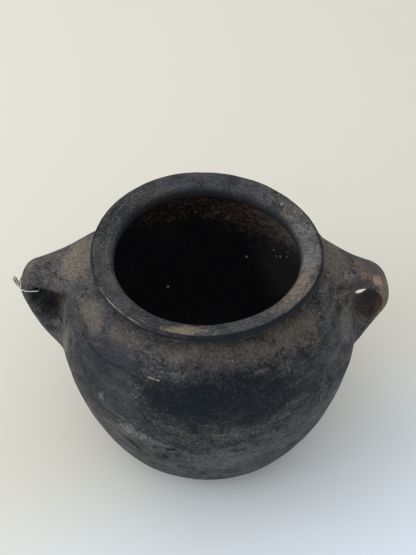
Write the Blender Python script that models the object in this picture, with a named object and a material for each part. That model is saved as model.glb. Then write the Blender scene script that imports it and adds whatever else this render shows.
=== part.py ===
"""Hand-built, smoke-blackened earthenware pot with two strap handles and a tie wire.

Units are metres and +Z is up. The origin is the centre of the resting face, the handles lie along X,
and the tie wire goes round the outer bend of the handle at -X.
"""

import math
from dataclasses import dataclass

import bmesh
import bpy
import numpy as np

# Vessel sizes
POT_HEIGHT = 0.147
BELLY_RADIUS = 0.090
BELLY_HEIGHT = 0.085
BASE_RADIUS = 0.052
WALL = 0.007
FLOOR_THICKNESS = 0.009
INNER_FLOOR_RADIUS = 0.046
THROAT_RADIUS = 0.052
RIM_RADIUS = 0.065
RIM_LIP_HEIGHT = 0.004
RIM_FALL = 0.0025
RIM_EDGE_ROUND = 0.0012
RIM_INNER_ROUND = 0.004
NECK_DROP = 0.0115

# Seams between the potter's pieces
SHOULDER_SEAM_DROP = 0.038
BASE_SEAM_HEIGHT = 0.0025
SEAM_BEVEL = 0.003
CLEARANCE = 0.0003

# Fullness of the wall's curve: how late it turns in height, and how soon in radius
SHOULDER_FULLNESS = (1.70, 0.57)
BOWL_FULLNESS = (1.50, 0.45)

# Handles: the two straps were shaped by eye, so each has its own width, place and bend
STRAP_THICKNESS = 0.009
LEFT_STRAP_WIDTH = 0.0225
LEFT_STRAP_SETBACK = 0.0024
LEFT_STRAP_SQUARENESS = 2.2
LEFT_BEND_RADIUS = 0.008
LEFT_BEND_STANDOFF = 0.0078
LEFT_BEND_DROP = 0.031
LEFT_UPPER_SLOPE = math.radians(14)
LEFT_LOWER_LEAN = math.radians(8)
RIGHT_STRAP_WIDTH = 0.0225
RIGHT_STRAP_SETBACK = 0.002
RIGHT_STRAP_SQUARENESS = 2.5
RIGHT_BEND_RADIUS = 0.014
RIGHT_BEND_STANDOFF = 0.0
RIGHT_BEND_DROP = 0.0385
RIGHT_UPPER_SLOPE = math.radians(21)
RIGHT_LOWER_LEAN = math.radians(22)

# Handles' roots: the radius that each run bends in, and how much wider and thicker it ends
UPPER_SWEEP = 2.0
LEFT_LOWER_SWEEP = 0.12
RIGHT_LOWER_SWEEP = 0.59
LEFT_UPPER_SPREAD = 0.050
LEFT_UPPER_SWELL = 0.014
LEFT_LOWER_SPREAD = 0.0295
LEFT_LOWER_SWELL = 0.0335
RIGHT_UPPER_SPREAD = 0.070
RIGHT_UPPER_SWELL = 0.0333
RIGHT_LOWER_SPREAD = 0.0236
RIGHT_LOWER_SWELL = 0.0254
UPPER_ROOT_DEPTH = 0.0085
LOWER_ROOT_DEPTH = 0.022

# How late along its run a root widens and thickens
LEFT_UPPER_SPREAD_POWER = 1.1
RIGHT_UPPER_SPREAD_POWER = 1.85
LOWER_SPREAD_POWER = 1.5
SWELL_POWER = 1.3

# Tie wire
WIRE_DIAMETER = 0.0008
WIRE_CLEARANCE = 0.0003
LOOP_RISE = 0.0007
LOOP_TILT = math.radians(16)
LOOP_OUTER_SQUARENESS = 2.1
LOOP_INNER_SQUARENESS = 6.0
TWIST_TURN = math.radians(-35)
TWIST_OPENING = math.radians(9)
TWIST_RADIUS = 0.0010
TWIST_LENGTH = 0.0058
TWIST_TURNS = 1.75
TWIST_STANDOFF = 0.0008
TWIST_DIRECTION = (-0.5, 0.6, 0.55)

# Facet counts
TURN_STEPS = 48
BOWL_POINTS = 10
SHOULDER_POINTS = 7
COVE_POINTS = 5
ROUND_POINTS = 4
SECTION_POINTS = 20
RUN_RINGS = 8
BEND_RINGS = 9
LOOP_POINTS = 48
TWIST_POINTS = 20
CURVE_SAMPLES = 12
EDGE_ANGLE = math.radians(35)

# Places that follow from the sizes
NECK_RADIUS = THROAT_RADIUS + WALL
NECK_HEIGHT = POT_HEIGHT - NECK_DROP
SHOULDER_SEAM_HEIGHT = POT_HEIGHT - SHOULDER_SEAM_DROP


@dataclass(frozen=True)
class WallCurve:
    """One side of the wall in section: two superellipse quarters that meet level at the belly."""

    neck_radius: float
    neck_height: float
    belly_radius: float
    foot_radius: float
    foot_height: float

    def angle(self, height):
        """The curve's parameter at a height: positive above the belly and negative below."""
        if height >= BELLY_HEIGHT:
            share = (height - BELLY_HEIGHT) / (self.neck_height - BELLY_HEIGHT)
            return math.asin(share ** (SHOULDER_FULLNESS[0] / 2))
        share = (BELLY_HEIGHT - height) / (BELLY_HEIGHT - self.foot_height)
        return -math.asin(share ** (BOWL_FULLNESS[0] / 2))

    def point(self, angle):
        """The (radius, height) at a parameter."""
        above = angle >= 0
        rise, turn = SHOULDER_FULLNESS if above else BOWL_FULLNESS
        end_radius = self.neck_radius if above else self.foot_radius
        end_height = self.neck_height if above else self.foot_height
        climb = abs(math.sin(angle)) ** (2 / rise)
        swell = max(math.cos(angle), 0.0) ** (2 * turn)
        return (
            end_radius + (self.belly_radius - end_radius) * swell,
            BELLY_HEIGHT + (end_height - BELLY_HEIGHT) * climb,
        )

    def stretch(self, top, bottom, count):
        """Points from one height down to another, evenly spaced in the parameter."""
        return [self.point(a) for a in np.linspace(self.angle(top), self.angle(bottom), count)]


OUTSIDE = WallCurve(NECK_RADIUS, NECK_HEIGHT, BELLY_RADIUS, BASE_RADIUS, 0.0)
INSIDE = WallCurve(THROAT_RADIUS, NECK_HEIGHT, BELLY_RADIUS - WALL, INNER_FLOOR_RADIUS, FLOOR_THICKNESS)


def clear_scene():
    for obj in list(bpy.data.objects):
        bpy.data.objects.remove(obj)


def make_material(name, colour, roughness, metallic):
    material = bpy.data.materials.new(name)
    material.use_nodes = True
    shader = material.node_tree.nodes["Principled BSDF"]
    shader.inputs["Base Color"].default_value = (*colour, 1.0)
    shader.inputs["Roughness"].default_value = roughness
    shader.inputs["Metallic"].default_value = metallic
    return material


def link(name, data, material):
    obj = bpy.data.objects.new(name, data)
    bpy.context.scene.collection.objects.link(obj)
    data.materials.append(material)
    return obj


def turned(name, outline, material, closed=True):
    """A solid of revolution. The outline runs down its outer side, and back up its inner side if closed."""
    bm = bmesh.new()
    points = [bm.verts.new((radius, 0.0, height)) for radius, height in outline]
    for start, end in zip(points, points[1:]):
        bm.edges.new((start, end))
    if closed:
        bm.edges.new((points[-1], points[0]))
    mesh = bpy.data.meshes.new(name)
    bm.to_mesh(mesh)
    bm.free()
    obj = link(name, mesh, material)
    screw = obj.modifiers.new("turning", "SCREW")
    screw.axis = "Z"
    screw.steps = screw.render_steps = TURN_STEPS
    screw.use_merge_vertices = True
    screw.merge_threshold = 0.00001
    screw.use_smooth_shade = True
    return obj


def quarter(centre, radii, start, end, count):
    """Points of an elliptical arc in the section, between two angles."""
    angles = np.linspace(start, end, count)
    return [(centre[0] + radii[0] * math.cos(a), centre[1] + radii[1] * math.sin(a)) for a in angles]


def collar_outside():
    """The lip's rounded top edge, its outer face, and the cove under it that runs down to the neck."""
    edge = (RIM_RADIUS - RIM_EDGE_ROUND, POT_HEIGHT - RIM_EDGE_ROUND)
    lip = quarter(edge, (RIM_EDGE_ROUND, RIM_EDGE_ROUND), math.pi / 2, 0, ROUND_POINTS)
    cove_size = (RIM_RADIUS - NECK_RADIUS, NECK_DROP - RIM_LIP_HEIGHT)
    cove_centre = (RIM_RADIUS, NECK_HEIGHT)
    return lip + quarter(cove_centre, cove_size, math.pi / 2, math.pi, COVE_POINTS)


def collar_inside():
    """The throat and the rounded edge that turns it into the sloping top face, from the neck upwards."""
    size = (RIM_INNER_ROUND, RIM_INNER_ROUND)
    centre = (THROAT_RADIUS + RIM_INNER_ROUND, POT_HEIGHT - RIM_FALL - RIM_INNER_ROUND)
    return [(THROAT_RADIUS, NECK_HEIGHT)] + quarter(centre, size, math.pi, math.pi / 2, ROUND_POINTS)


def rim_collar(material):
    outline = collar_outside() + collar_inside()
    return turned("rim_collar", outline, material)


def shoulder_outside():
    return OUTSIDE.stretch(
        NECK_HEIGHT - CLEARANCE,
        SHOULDER_SEAM_HEIGHT - SEAM_BEVEL + CLEARANCE,
        SHOULDER_POINTS,
    )


def bowl_outside():
    return OUTSIDE.stretch(
        SHOULDER_SEAM_HEIGHT - SEAM_BEVEL,
        BASE_SEAM_HEIGHT + CLEARANCE,
        BOWL_POINTS,
    )


def heel_outside():
    return OUTSIDE.stretch(BASE_SEAM_HEIGHT, 0.0, ROUND_POINTS)


def shoulder_wall(material):
    """Its top lies one clearance under the collar, and its lower edge is bevelled to lap over the bowl."""
    top = NECK_HEIGHT - CLEARANCE
    inside = INSIDE.stretch(top, SHOULDER_SEAM_HEIGHT + SEAM_BEVEL + CLEARANCE, SHOULDER_POINTS)
    return turned("shoulder_wall", shoulder_outside() + inside[::-1], material)


def lower_wall(material):
    """The bowl. Its upper edge is bevelled inwards, and its foot is bevelled to sit on the base slab."""
    inside = INSIDE.stretch(SHOULDER_SEAM_HEIGHT + SEAM_BEVEL, FLOOR_THICKNESS + CLEARANCE, BOWL_POINTS)
    return turned("lower_wall", bowl_outside() + inside[::-1], material)


def base_disc(material):
    """The slab: flat below and above, with a flared heel and a bevel that carries the bowl."""
    floor = [(0.0, FLOOR_THICKNESS), (INNER_FLOOR_RADIUS, FLOOR_THICKNESS)]
    return turned("base_disc", floor + heel_outside() + [(0.0, 0.0)], material, closed=False)


def swollen(outline, distance):
    """An outline moved outwards along its normals by a distance."""
    points = np.array(outline)
    run = np.gradient(points, axis=0)
    normals = np.stack([-run[:, 1], run[:, 0]], axis=1)
    normals /= np.linalg.norm(normals, axis=1)[:, None]
    return [tuple(point) for point in points + distance * normals]


def vessel_cutter(material):
    """The vessel's whole outer form, one clearance larger, which trims the handles' roots."""
    outline = swollen(collar_outside() + shoulder_outside() + bowl_outside() + heel_outside(), CLEARANCE)
    top, bottom = outline[0][1], outline[-1][1]
    cutter = turned("vessel_cutter", [(0.0, top)] + outline + [(0.0, bottom)], material, closed=False)
    cutter.hide_render = True
    cutter.display_type = "WIRE"
    return cutter


def superellipse(angle, half_out, half_side, squareness):
    """The (outward, sideways) point of a superellipse, from its outer face at 0 round towards +Y."""
    cos, sin = math.cos(angle), math.sin(angle)
    out = math.copysign(abs(cos) ** (2 / squareness), cos)
    sideways = math.copysign(abs(sin) ** (2 / squareness), sin)
    return half_out * out, half_side * sideways


@dataclass(frozen=True)
class Root:
    """How a run of a strap bends on from the strap's bend and grows into the wall."""

    sweep: float
    spread: float
    spread_power: float
    swell: float


@dataclass(frozen=True)
class Strap:
    """A handle's middle line in its own upright plane: a run, a bend and another run, set back along Y."""

    name: str
    side: int
    width: float
    setback: float
    squareness: float
    bend_radius: float
    bend_standoff: float
    bend_drop: float
    upper_slope: float
    lower_lean: float
    upper: Root
    lower: Root

    @property
    def bend_centre(self):
        """The (radius, height) of the middle of the bend."""
        return BELLY_RADIUS + self.bend_standoff, POT_HEIGHT - self.bend_drop

    def ring(self, angle, along, root, share):
        """A ring of points at an angle of the bend and a distance on from it, along the root's arc.

        With its share of the way to the root, the ring widens to both sides and thickens inwards.
        """
        start = np.array((math.cos(angle), math.sin(angle)))
        turned = angle - along / root.sweep
        normal = np.array((math.cos(turned), math.sin(turned)))
        middle = np.array(self.bend_centre) + self.bend_radius * start + root.sweep * (normal - start)
        half_side = (self.width + root.spread * share**root.spread_power) / 2
        swell = root.swell * share**SWELL_POWER / 2
        points = []
        for turn in np.linspace(0, 2 * math.pi, SECTION_POINTS, endpoint=False):
            out, sideways = superellipse(turn, STRAP_THICKNESS / 2 + swell, half_side, self.squareness)
            radius, height = middle + normal * (out - swell)
            points.append((self.side * radius, self.side * sideways + self.setback, height))
        return points

    def rings(self):
        """Rings from inside the neck, out round the bend, and back inside the belly."""
        first, last = math.pi / 2 - self.upper_slope, -self.lower_lean
        first_radius = self.bend_centre[0] + self.bend_radius * math.cos(first)
        last_radius = self.bend_centre[0] + self.bend_radius * math.cos(last)
        upper_run = (first_radius - (NECK_RADIUS - UPPER_ROOT_DEPTH)) / math.sin(first)
        inward = last_radius - (BELLY_RADIUS - LOWER_ROOT_DEPTH)
        lower_turn = math.acos(math.cos(last) - inward / self.lower.sweep) + last
        lower_run = self.lower.sweep * lower_turn
        shares = np.linspace(0, 1, RUN_RINGS)[1:]
        upper = [self.ring(first, -upper_run * share, self.upper, share) for share in shares[::-1]]
        bend = [self.ring(angle, 0.0, self.upper, 0.0) for angle in np.linspace(first, last, BEND_RINGS)]
        lower = [self.ring(last, lower_run * share, self.lower, share) for share in shares]
        return upper + bend + lower


LEFT = Strap(
    "left_handle",
    -1,
    LEFT_STRAP_WIDTH,
    LEFT_STRAP_SETBACK,
    LEFT_STRAP_SQUARENESS,
    LEFT_BEND_RADIUS,
    LEFT_BEND_STANDOFF,
    LEFT_BEND_DROP,
    LEFT_UPPER_SLOPE,
    LEFT_LOWER_LEAN,
    Root(UPPER_SWEEP, LEFT_UPPER_SPREAD, LEFT_UPPER_SPREAD_POWER, LEFT_UPPER_SWELL),
    Root(LEFT_LOWER_SWEEP, LEFT_LOWER_SPREAD, LOWER_SPREAD_POWER, LEFT_LOWER_SWELL),
)
RIGHT = Strap(
    "right_handle",
    1,
    RIGHT_STRAP_WIDTH,
    RIGHT_STRAP_SETBACK,
    RIGHT_STRAP_SQUARENESS,
    RIGHT_BEND_RADIUS,
    RIGHT_BEND_STANDOFF,
    RIGHT_BEND_DROP,
    RIGHT_UPPER_SLOPE,
    RIGHT_LOWER_LEAN,
    Root(UPPER_SWEEP, RIGHT_UPPER_SPREAD, RIGHT_UPPER_SPREAD_POWER, RIGHT_UPPER_SWELL),
    Root(RIGHT_LOWER_SWEEP, RIGHT_LOWER_SPREAD, LOWER_SPREAD_POWER, RIGHT_LOWER_SWELL),
)


def strap_handle(strap, cutter, material):
    """A strap of one section round its bend, which spreads into its two roots."""
    bm = bmesh.new()
    rings = [[bm.verts.new(point) for point in ring] for ring in strap.rings()]
    for ring, after in zip(rings, rings[1:]):
        for i in range(len(ring)):
            j = (i + 1) % len(ring)
            bm.faces.new((ring[i], ring[j], after[j], after[i]))
    bm.faces.new(rings[0][::-1])
    bm.faces.new(rings[-1])
    bmesh.ops.recalc_face_normals(bm, faces=bm.faces)
    mesh = bpy.data.meshes.new(strap.name)
    bm.to_mesh(mesh)
    bm.free()
    mesh.shade_smooth()
    mesh.set_sharp_from_angle(angle=EDGE_ANGLE)
    handle = link(strap.name, mesh, material)
    trim = handle.modifiers.new("trim to the wall", "BOOLEAN")
    trim.operation = "DIFFERENCE"
    trim.solver = "EXACT"
    trim.object = cutter
    return handle


def loop_point(angle):
    """A point of the loop round the strap, relative to the bend's centre.

    The loop is the strap's section, grown by the clearance and half the wire, and squarer on its inner side.
    It lies in a plane that falls towards +Y. A point at distance d from the bend's axis, at a height over it,
    is at sqrt(d * d - height * height) outwards.
    """
    grow = WIRE_CLEARANCE + WIRE_DIAMETER / 2
    half_side = LEFT.width / 2 + grow
    squareness = LOOP_OUTER_SQUARENESS if math.cos(angle) > 0 else LOOP_INNER_SQUARENESS
    out, sideways = superellipse(angle, STRAP_THICKNESS / 2 + grow, half_side, squareness)
    top = LEFT.bend_radius - STRAP_THICKNESS / 2 + LOOP_RISE
    height = top - math.tan(LOOP_TILT) * (sideways + half_side)
    distance = LEFT.bend_radius + out
    return np.array((-math.sqrt(max(distance**2 - height**2, 0.0)), sideways, height))


def twist_strand(root, phase, axis, first, second):
    """One strand of the twist: a helix from its root outwards."""
    points = []
    for share in np.linspace(0, 1, TWIST_POINTS):
        angle = phase + 2 * math.pi * TWIST_TURNS * share
        ring = TWIST_RADIUS * (math.cos(angle) * first + math.sin(angle) * second)
        points.append(root + axis * TWIST_LENGTH * share + ring)
    return points


def wire_route():
    """The whole wire, tip to tip: one strand in, round the strap, and the other strand out."""
    start, end = TWIST_TURN + TWIST_OPENING, TWIST_TURN - TWIST_OPENING + 2 * math.pi
    loop = [loop_point(angle) for angle in np.linspace(start, end, LOOP_POINTS)]
    axis = np.array(TWIST_DIRECTION) / np.linalg.norm(TWIST_DIRECTION)
    sideways = np.array((0.0, 1.0, 0.0))
    first = sideways - axis * np.dot(sideways, axis)
    first /= np.linalg.norm(first)
    second = np.cross(axis, first)
    root = loop_point(TWIST_TURN) + axis * TWIST_STANDOFF
    strand = twist_strand(root, 0.0, axis, first, second)
    other = twist_strand(root, math.pi, axis, first, second)
    return strand[::-1] + loop + other


def mix(start, end, start_knot, end_knot, knot):
    """The point between two others at a knot between theirs."""
    share = (knot - start_knot) / (end_knot - start_knot)
    return start * (1 - share) + end * share


def rounded_route(points, spacing):
    """A smooth curve through the points (centripetal Catmull-Rom), read off at an even spacing.

    Points that crowd closer than a quarter of the spacing are left out first.
    """
    points = np.array(points)
    steps = np.linalg.norm(np.diff(points, axis=0), axis=1)
    points = points[np.concatenate([[True], steps > spacing / 4])]
    padded = np.vstack([2 * points[0] - points[1], points, 2 * points[-1] - points[-2]])
    dense = []
    for before, start, end, after in zip(padded, padded[1:], padded[2:], padded[3:]):
        gaps = [np.linalg.norm(b - a) ** 0.5 for a, b in ((before, start), (start, end), (end, after))]
        knots = np.cumsum([0.0] + gaps)
        for t in np.linspace(knots[1], knots[2], CURVE_SAMPLES, endpoint=False):
            a1 = mix(before, start, knots[0], knots[1], t)
            a2 = mix(start, end, knots[1], knots[2], t)
            a3 = mix(end, after, knots[2], knots[3], t)
            b1 = mix(a1, a2, knots[0], knots[2], t)
            b2 = mix(a2, a3, knots[1], knots[3], t)
            dense.append(mix(b1, b2, knots[1], knots[2], t))
    dense = np.array(dense + [points[-1]])
    travelled = np.concatenate([[0.0], np.cumsum(np.linalg.norm(np.diff(dense, axis=0), axis=1))])
    even = np.linspace(0, travelled[-1], round(travelled[-1] / spacing) + 1)
    return np.stack([np.interp(even, travelled, dense[:, i]) for i in range(3)], axis=1)


def least_gap(route, diameter):
    """The least clear distance between stretches of the wire more than four diameters apart along it."""
    spacing = np.linalg.norm(route[1] - route[0])
    apart = np.linalg.norm(route[:, None] - route[None], axis=2)
    index = np.arange(len(route))
    distant = np.abs(index[:, None] - index[None]) * spacing > 4 * diameter
    return apart[distant].min() - diameter


def tie_wire(material):
    route = rounded_route(wire_route(), WIRE_DIAMETER)
    print(f"tie_wire: least gap to itself {least_gap(route, WIRE_DIAMETER) * 1000:.2f} mm")
    curve = bpy.data.curves.new("tie_wire", "CURVE")
    curve.dimensions = "3D"
    curve.bevel_depth = WIRE_DIAMETER / 2
    curve.bevel_resolution = 1
    curve.use_fill_caps = True
    spline = curve.splines.new("POLY")
    spline.points.add(len(route) - 1)
    for knot, point in zip(spline.points, route):
        knot.co = (*point, 1.0)
    wire = link("tie_wire", curve, material)
    bend_radius, bend_height = LEFT.bend_centre
    wire.location = (LEFT.side * bend_radius, LEFT.setback, bend_height)
    return wire


def build():
    clear_scene()
    dark_clay = make_material("smoked_clay", (0.035, 0.034, 0.036), 0.62, 0.0)
    base_clay = make_material("base_clay", (0.030, 0.028, 0.028), 0.75, 0.0)
    bowl_clay = make_material("bowl_clay", (0.033, 0.033, 0.037), 0.58, 0.0)
    brown_clay = make_material("shoulder_clay", (0.052, 0.045, 0.040), 0.66, 0.0)
    left_clay = make_material("left_handle_clay", (0.040, 0.037, 0.037), 0.66, 0.0)
    right_clay = make_material("right_handle_clay", (0.048, 0.041, 0.040), 0.66, 0.0)
    bright_wire = make_material("bright_wire", (0.70, 0.70, 0.70), 0.28, 1.0)
    base_disc(base_clay)
    lower_wall(bowl_clay)
    shoulder_wall(brown_clay)
    rim_collar(dark_clay)
    cutter = vessel_cutter(dark_clay)
    strap_handle(LEFT, cutter, left_clay)
    strap_handle(RIGHT, cutter, right_clay)
    tie_wire(bright_wire)


build()
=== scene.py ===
"""Looks of a hand-built cooking pot of smoke-blackened clay, with two strap handles and a bright wire tie.

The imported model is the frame. Every visible piece is worked out here as a grid of points and stands for one
node of that frame. Lengths are in metres in the frame's own axes: +Z is up and -Y faces the viewer.
"""

import logging
import math
from dataclasses import dataclass
from enum import Enum
from itertools import product

import bpy
import numpy as np
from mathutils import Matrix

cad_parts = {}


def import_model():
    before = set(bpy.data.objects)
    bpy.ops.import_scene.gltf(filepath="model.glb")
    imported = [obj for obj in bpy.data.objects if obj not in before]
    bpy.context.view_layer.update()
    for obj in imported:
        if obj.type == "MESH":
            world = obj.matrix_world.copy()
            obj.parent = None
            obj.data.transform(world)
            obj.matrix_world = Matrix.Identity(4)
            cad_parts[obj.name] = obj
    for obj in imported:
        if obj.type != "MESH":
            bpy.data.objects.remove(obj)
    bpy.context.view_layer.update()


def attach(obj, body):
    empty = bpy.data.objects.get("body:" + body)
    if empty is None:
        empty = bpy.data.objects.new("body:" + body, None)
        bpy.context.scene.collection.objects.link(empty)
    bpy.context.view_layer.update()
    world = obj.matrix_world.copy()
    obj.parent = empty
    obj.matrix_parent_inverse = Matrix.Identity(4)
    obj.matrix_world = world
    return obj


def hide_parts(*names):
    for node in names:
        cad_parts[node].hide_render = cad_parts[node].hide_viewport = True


LOG = logging.getLogger("pot")
MM = 0.001

Array = np.ndarray
Pair = tuple[float, float]
Point = tuple[float, float, float]
Stretch = tuple[str, str, float]
Colour = tuple[float, float, float, float]
Socket = bpy.types.NodeSocket


class Body(Enum):
    """The frame's bodies that pieces ride on."""

    POT = "pot"
    WIRE = "wire"


class Side(Enum):
    """Which side of the pot a handle is on, as the sign of its X."""

    LEFT = -1
    RIGHT = 1


def paint(red: int, green: int, blue: int) -> Colour:
    """A colour written as it shows on a screen, from 0 to 255, turned into linear light."""
    shown = np.array((red, green, blue)) / 255
    linear = np.where(shown <= 0.04045, shown / 12.92, ((shown + 0.055) / 1.055) ** 2.4)
    return (float(linear[0]), float(linear[1]), float(linear[2]), 1.0)


def eased(value: Array, low: float, high: float) -> Array:
    """A smooth step from 0 at low to 1 at high: t * t * (3 - 2 * t)."""
    t = np.clip((value - low) / (high - low), 0, 1)
    return t * t * (3 - 2 * t)


def lattice_values(corner: Array, seed: int) -> Array:
    """A repeatable value from 0 to 1 for each whole-number corner, by mixing the bits of its place.

    Args:
        corner: Whole numbers, three to a corner along the last axis.
        seed: Picks another set of values.

    Returns:
        One value for each corner.
    """
    mixed = corner @ np.array((374761393, 668265263, 1274126177)) + seed * 974711
    mixed = (mixed ^ (mixed >> 13)) & 0x7FFFFFFF
    mixed = (mixed * 1103515245 + 12345) & 0x7FFFFFFF
    mixed = ((mixed ^ (mixed >> 15)) * 69069) & 0x7FFFFFFF
    return (mixed ^ (mixed >> 12)) / 0x7FFFFFFF


def lumps(points: Array, size: float, seed: int) -> Array:
    """Smooth lumps and hollows of about one size.

    A point's cube in a lattice of that size has a value at each of its eight corners. They are blended by
    t * t * (3 - 2 * t) along each axis.

    Args:
        points: Points along the last axis.
        size: The width of a lump.
        seed: Picks another set of lumps.

    Returns:
        A height from -1 to 1 for each point.
    """
    place = points / size
    cell = np.floor(place).astype(np.int64)
    t = place - cell
    t = t * t * (3 - 2 * t)
    total = np.zeros(points.shape[:-1])
    for corner in product((0, 1), repeat=3):
        offset = np.array(corner)
        weight = np.prod(np.where(offset, t, 1 - t), axis=-1)
        total += weight * lattice_values(cell + offset, seed)
    return 2 * total - 1


def unit(vectors: Array) -> Array:
    """The vectors along the last axis, each brought to length 1."""
    return vectors / np.maximum(np.linalg.norm(vectors, axis=-1, keepdims=True), 1e-12)


def blurred(values: Array, spread: float) -> Array:
    """Values along the first axis, averaged with their neighbours under a bell curve.

    Args:
        values: An array of rows.
        spread: The bell curve's standard deviation, in rows.

    Returns:
        An array of the same shape, in which the end rows count as repeated past the ends.
    """
    reach = int(4 * spread) + 1
    bell = np.exp(-0.5 * (np.arange(-reach, reach + 1) / spread) ** 2)
    bell /= bell.sum()
    padded = np.pad(values, ((reach, reach), (0, 0)), mode="edge")
    return np.stack([np.convolve(column, bell, "valid") for column in padded.T], axis=1)


def evenly_spaced(points: Array, spacing: float) -> Array:
    """Points read off along a broken line at an even spacing, its two ends among them."""
    travelled = np.concatenate([[0.0], np.cumsum(np.linalg.norm(np.diff(points, axis=0), axis=1))])
    places = np.linspace(0, travelled[-1], max(2, round(travelled[-1] / spacing) + 1))
    return np.stack([np.interp(places, travelled, column) for column in points.T], axis=1)


def segment_distance(points: Array, start: Point, end: Point) -> Array:
    """Each point's distance from the straight line between two others."""
    first, along = np.array(start), np.array(end) - np.array(start)
    share = np.clip(((points - first) @ along) / (along @ along), 0, 1)
    return np.linalg.norm(points - first - share[..., None] * along, axis=-1)


def skin(name: str, grid: Array, joined: bool, traits: dict[str, Array], sharp: float) -> bpy.types.Object:
    """A closed mesh over a grid of points, with its faces turned outwards.

    The columns always join up. The rows join up too, or the first and last row each get a lid, a fan of
    triangles round the row's middle. The sign of the mesh's volume tells whether to turn the faces over.

    Args:
        name: The new object's name.
        grid: Points as rows, columns and three coordinates.
        joined: Whether the last row joins the first.
        traits: Values for the materials to read, by name, each with one number to a point of the grid.
        sharp: Edges that bend by more than this angle stay crisp.

    Returns:
        The object, in the scene and at the origin.
    """
    rows, columns = grid.shape[:2]
    index = np.arange(rows * columns).reshape(rows, columns)
    lower = index if joined else index[:-1]
    upper = np.roll(index, -1, axis=0) if joined else index[1:]
    quads = np.stack([lower, np.roll(lower, -1, 1), np.roll(upper, -1, 1), upper], axis=-1).reshape(-1, 4)
    points = grid.reshape(-1, 3)
    values = {trait: array.reshape(-1) for trait, array in traits.items()}
    fans = np.empty((0, 3), int)
    if not joined:
        first_hub = np.full(columns, rows * columns)
        first = np.stack([np.roll(index[0], -1), index[0], first_hub], axis=-1)
        last = np.stack([index[-1], np.roll(index[-1], -1), first_hub + 1], axis=-1)
        fans = np.vstack([first, last])
        points = np.vstack([points, grid[0].mean(axis=0), grid[-1].mean(axis=0)])
        for trait, array in traits.items():
            values[trait] = np.concatenate([values[trait], [array[0].mean(), array[-1].mean()]])
    triangles = np.vstack([quads[:, [0, 1, 2]], quads[:, [0, 2, 3]], fans])
    corners = points[triangles]
    volume = np.einsum("ij,ij->i", corners[:, 0], np.cross(corners[:, 1], corners[:, 2])).sum()
    if volume < 0:
        quads, fans = quads[:, ::-1], fans[:, ::-1]
    mesh = bpy.data.meshes.new(name)
    mesh.vertices.add(len(points))
    mesh.vertices.foreach_set("co", points.astype(np.float32).ravel())
    corner_count = quads.size + fans.size
    mesh.loops.add(corner_count)
    mesh.loops.foreach_set("vertex_index", np.concatenate([quads.ravel(), fans.ravel()]).astype(np.int32))
    mesh.polygons.add(len(quads) + len(fans))
    starts = np.concatenate([np.arange(len(quads)) * 4, quads.size + np.arange(len(fans)) * 3])
    mesh.polygons.foreach_set("loop_start", starts.astype(np.int32))
    mesh.update(calc_edges=True)
    mesh.validate()
    for trait, array in values.items():
        layer = mesh.attributes.new(trait, "FLOAT", "POINT")
        layer.data.foreach_set("value", array.astype(np.float32))
    mesh.shade_smooth()
    mesh.set_sharp_from_angle(angle=sharp)
    piece = bpy.data.objects.new(name, mesh)
    bpy.context.scene.collection.objects.link(piece)
    return piece


@dataclass(frozen=True)
class WallSide:
    """One side of the wall in section: two superellipse quarters that meet level at the belly."""

    neck_radius: float
    neck_height: float
    belly_radius: float
    belly_height: float
    foot_radius: float
    foot_height: float
    shoulder_fullness: Pair = (1.70, 0.57)
    bowl_fullness: Pair = (1.50, 0.45)

    def quarter(self, above: bool, count: int) -> Array:
        """Points from the belly to the neck or to the foot.

        With a from 0 to 90 degrees, the radius goes from the belly's to the end's as cos(a) ** (2 * turn),
        and the height as sin(a) ** (2 / rise).

        Args:
            above: Whether to go up to the neck.
            count: How many points.

        Returns:
            Rows of radius and height.
        """
        rise, turn = self.shoulder_fullness if above else self.bowl_fullness
        end_radius = self.neck_radius if above else self.foot_radius
        end_height = self.neck_height if above else self.foot_height
        angle = np.linspace(0, math.pi / 2, count)
        swell = np.maximum(np.cos(angle), 0) ** (2 * turn)
        climb = np.sin(angle) ** (2 / rise)
        radius = end_radius + (self.belly_radius - end_radius) * swell
        height = self.belly_height + (end_height - self.belly_height) * climb
        return np.stack([radius, height], axis=1)


ARC_POINTS = 24


def elliptic_arc(centre: Pair, radii: Pair, start: float, end: float) -> Array:
    """Points of an ellipse about a centre, between two angles in degrees from the outward direction."""
    angle = np.radians(np.linspace(start, end, ARC_POINTS))
    return np.stack([centre[0] + radii[0] * np.cos(angle), centre[1] + radii[1] * np.sin(angle)], axis=1)


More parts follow.
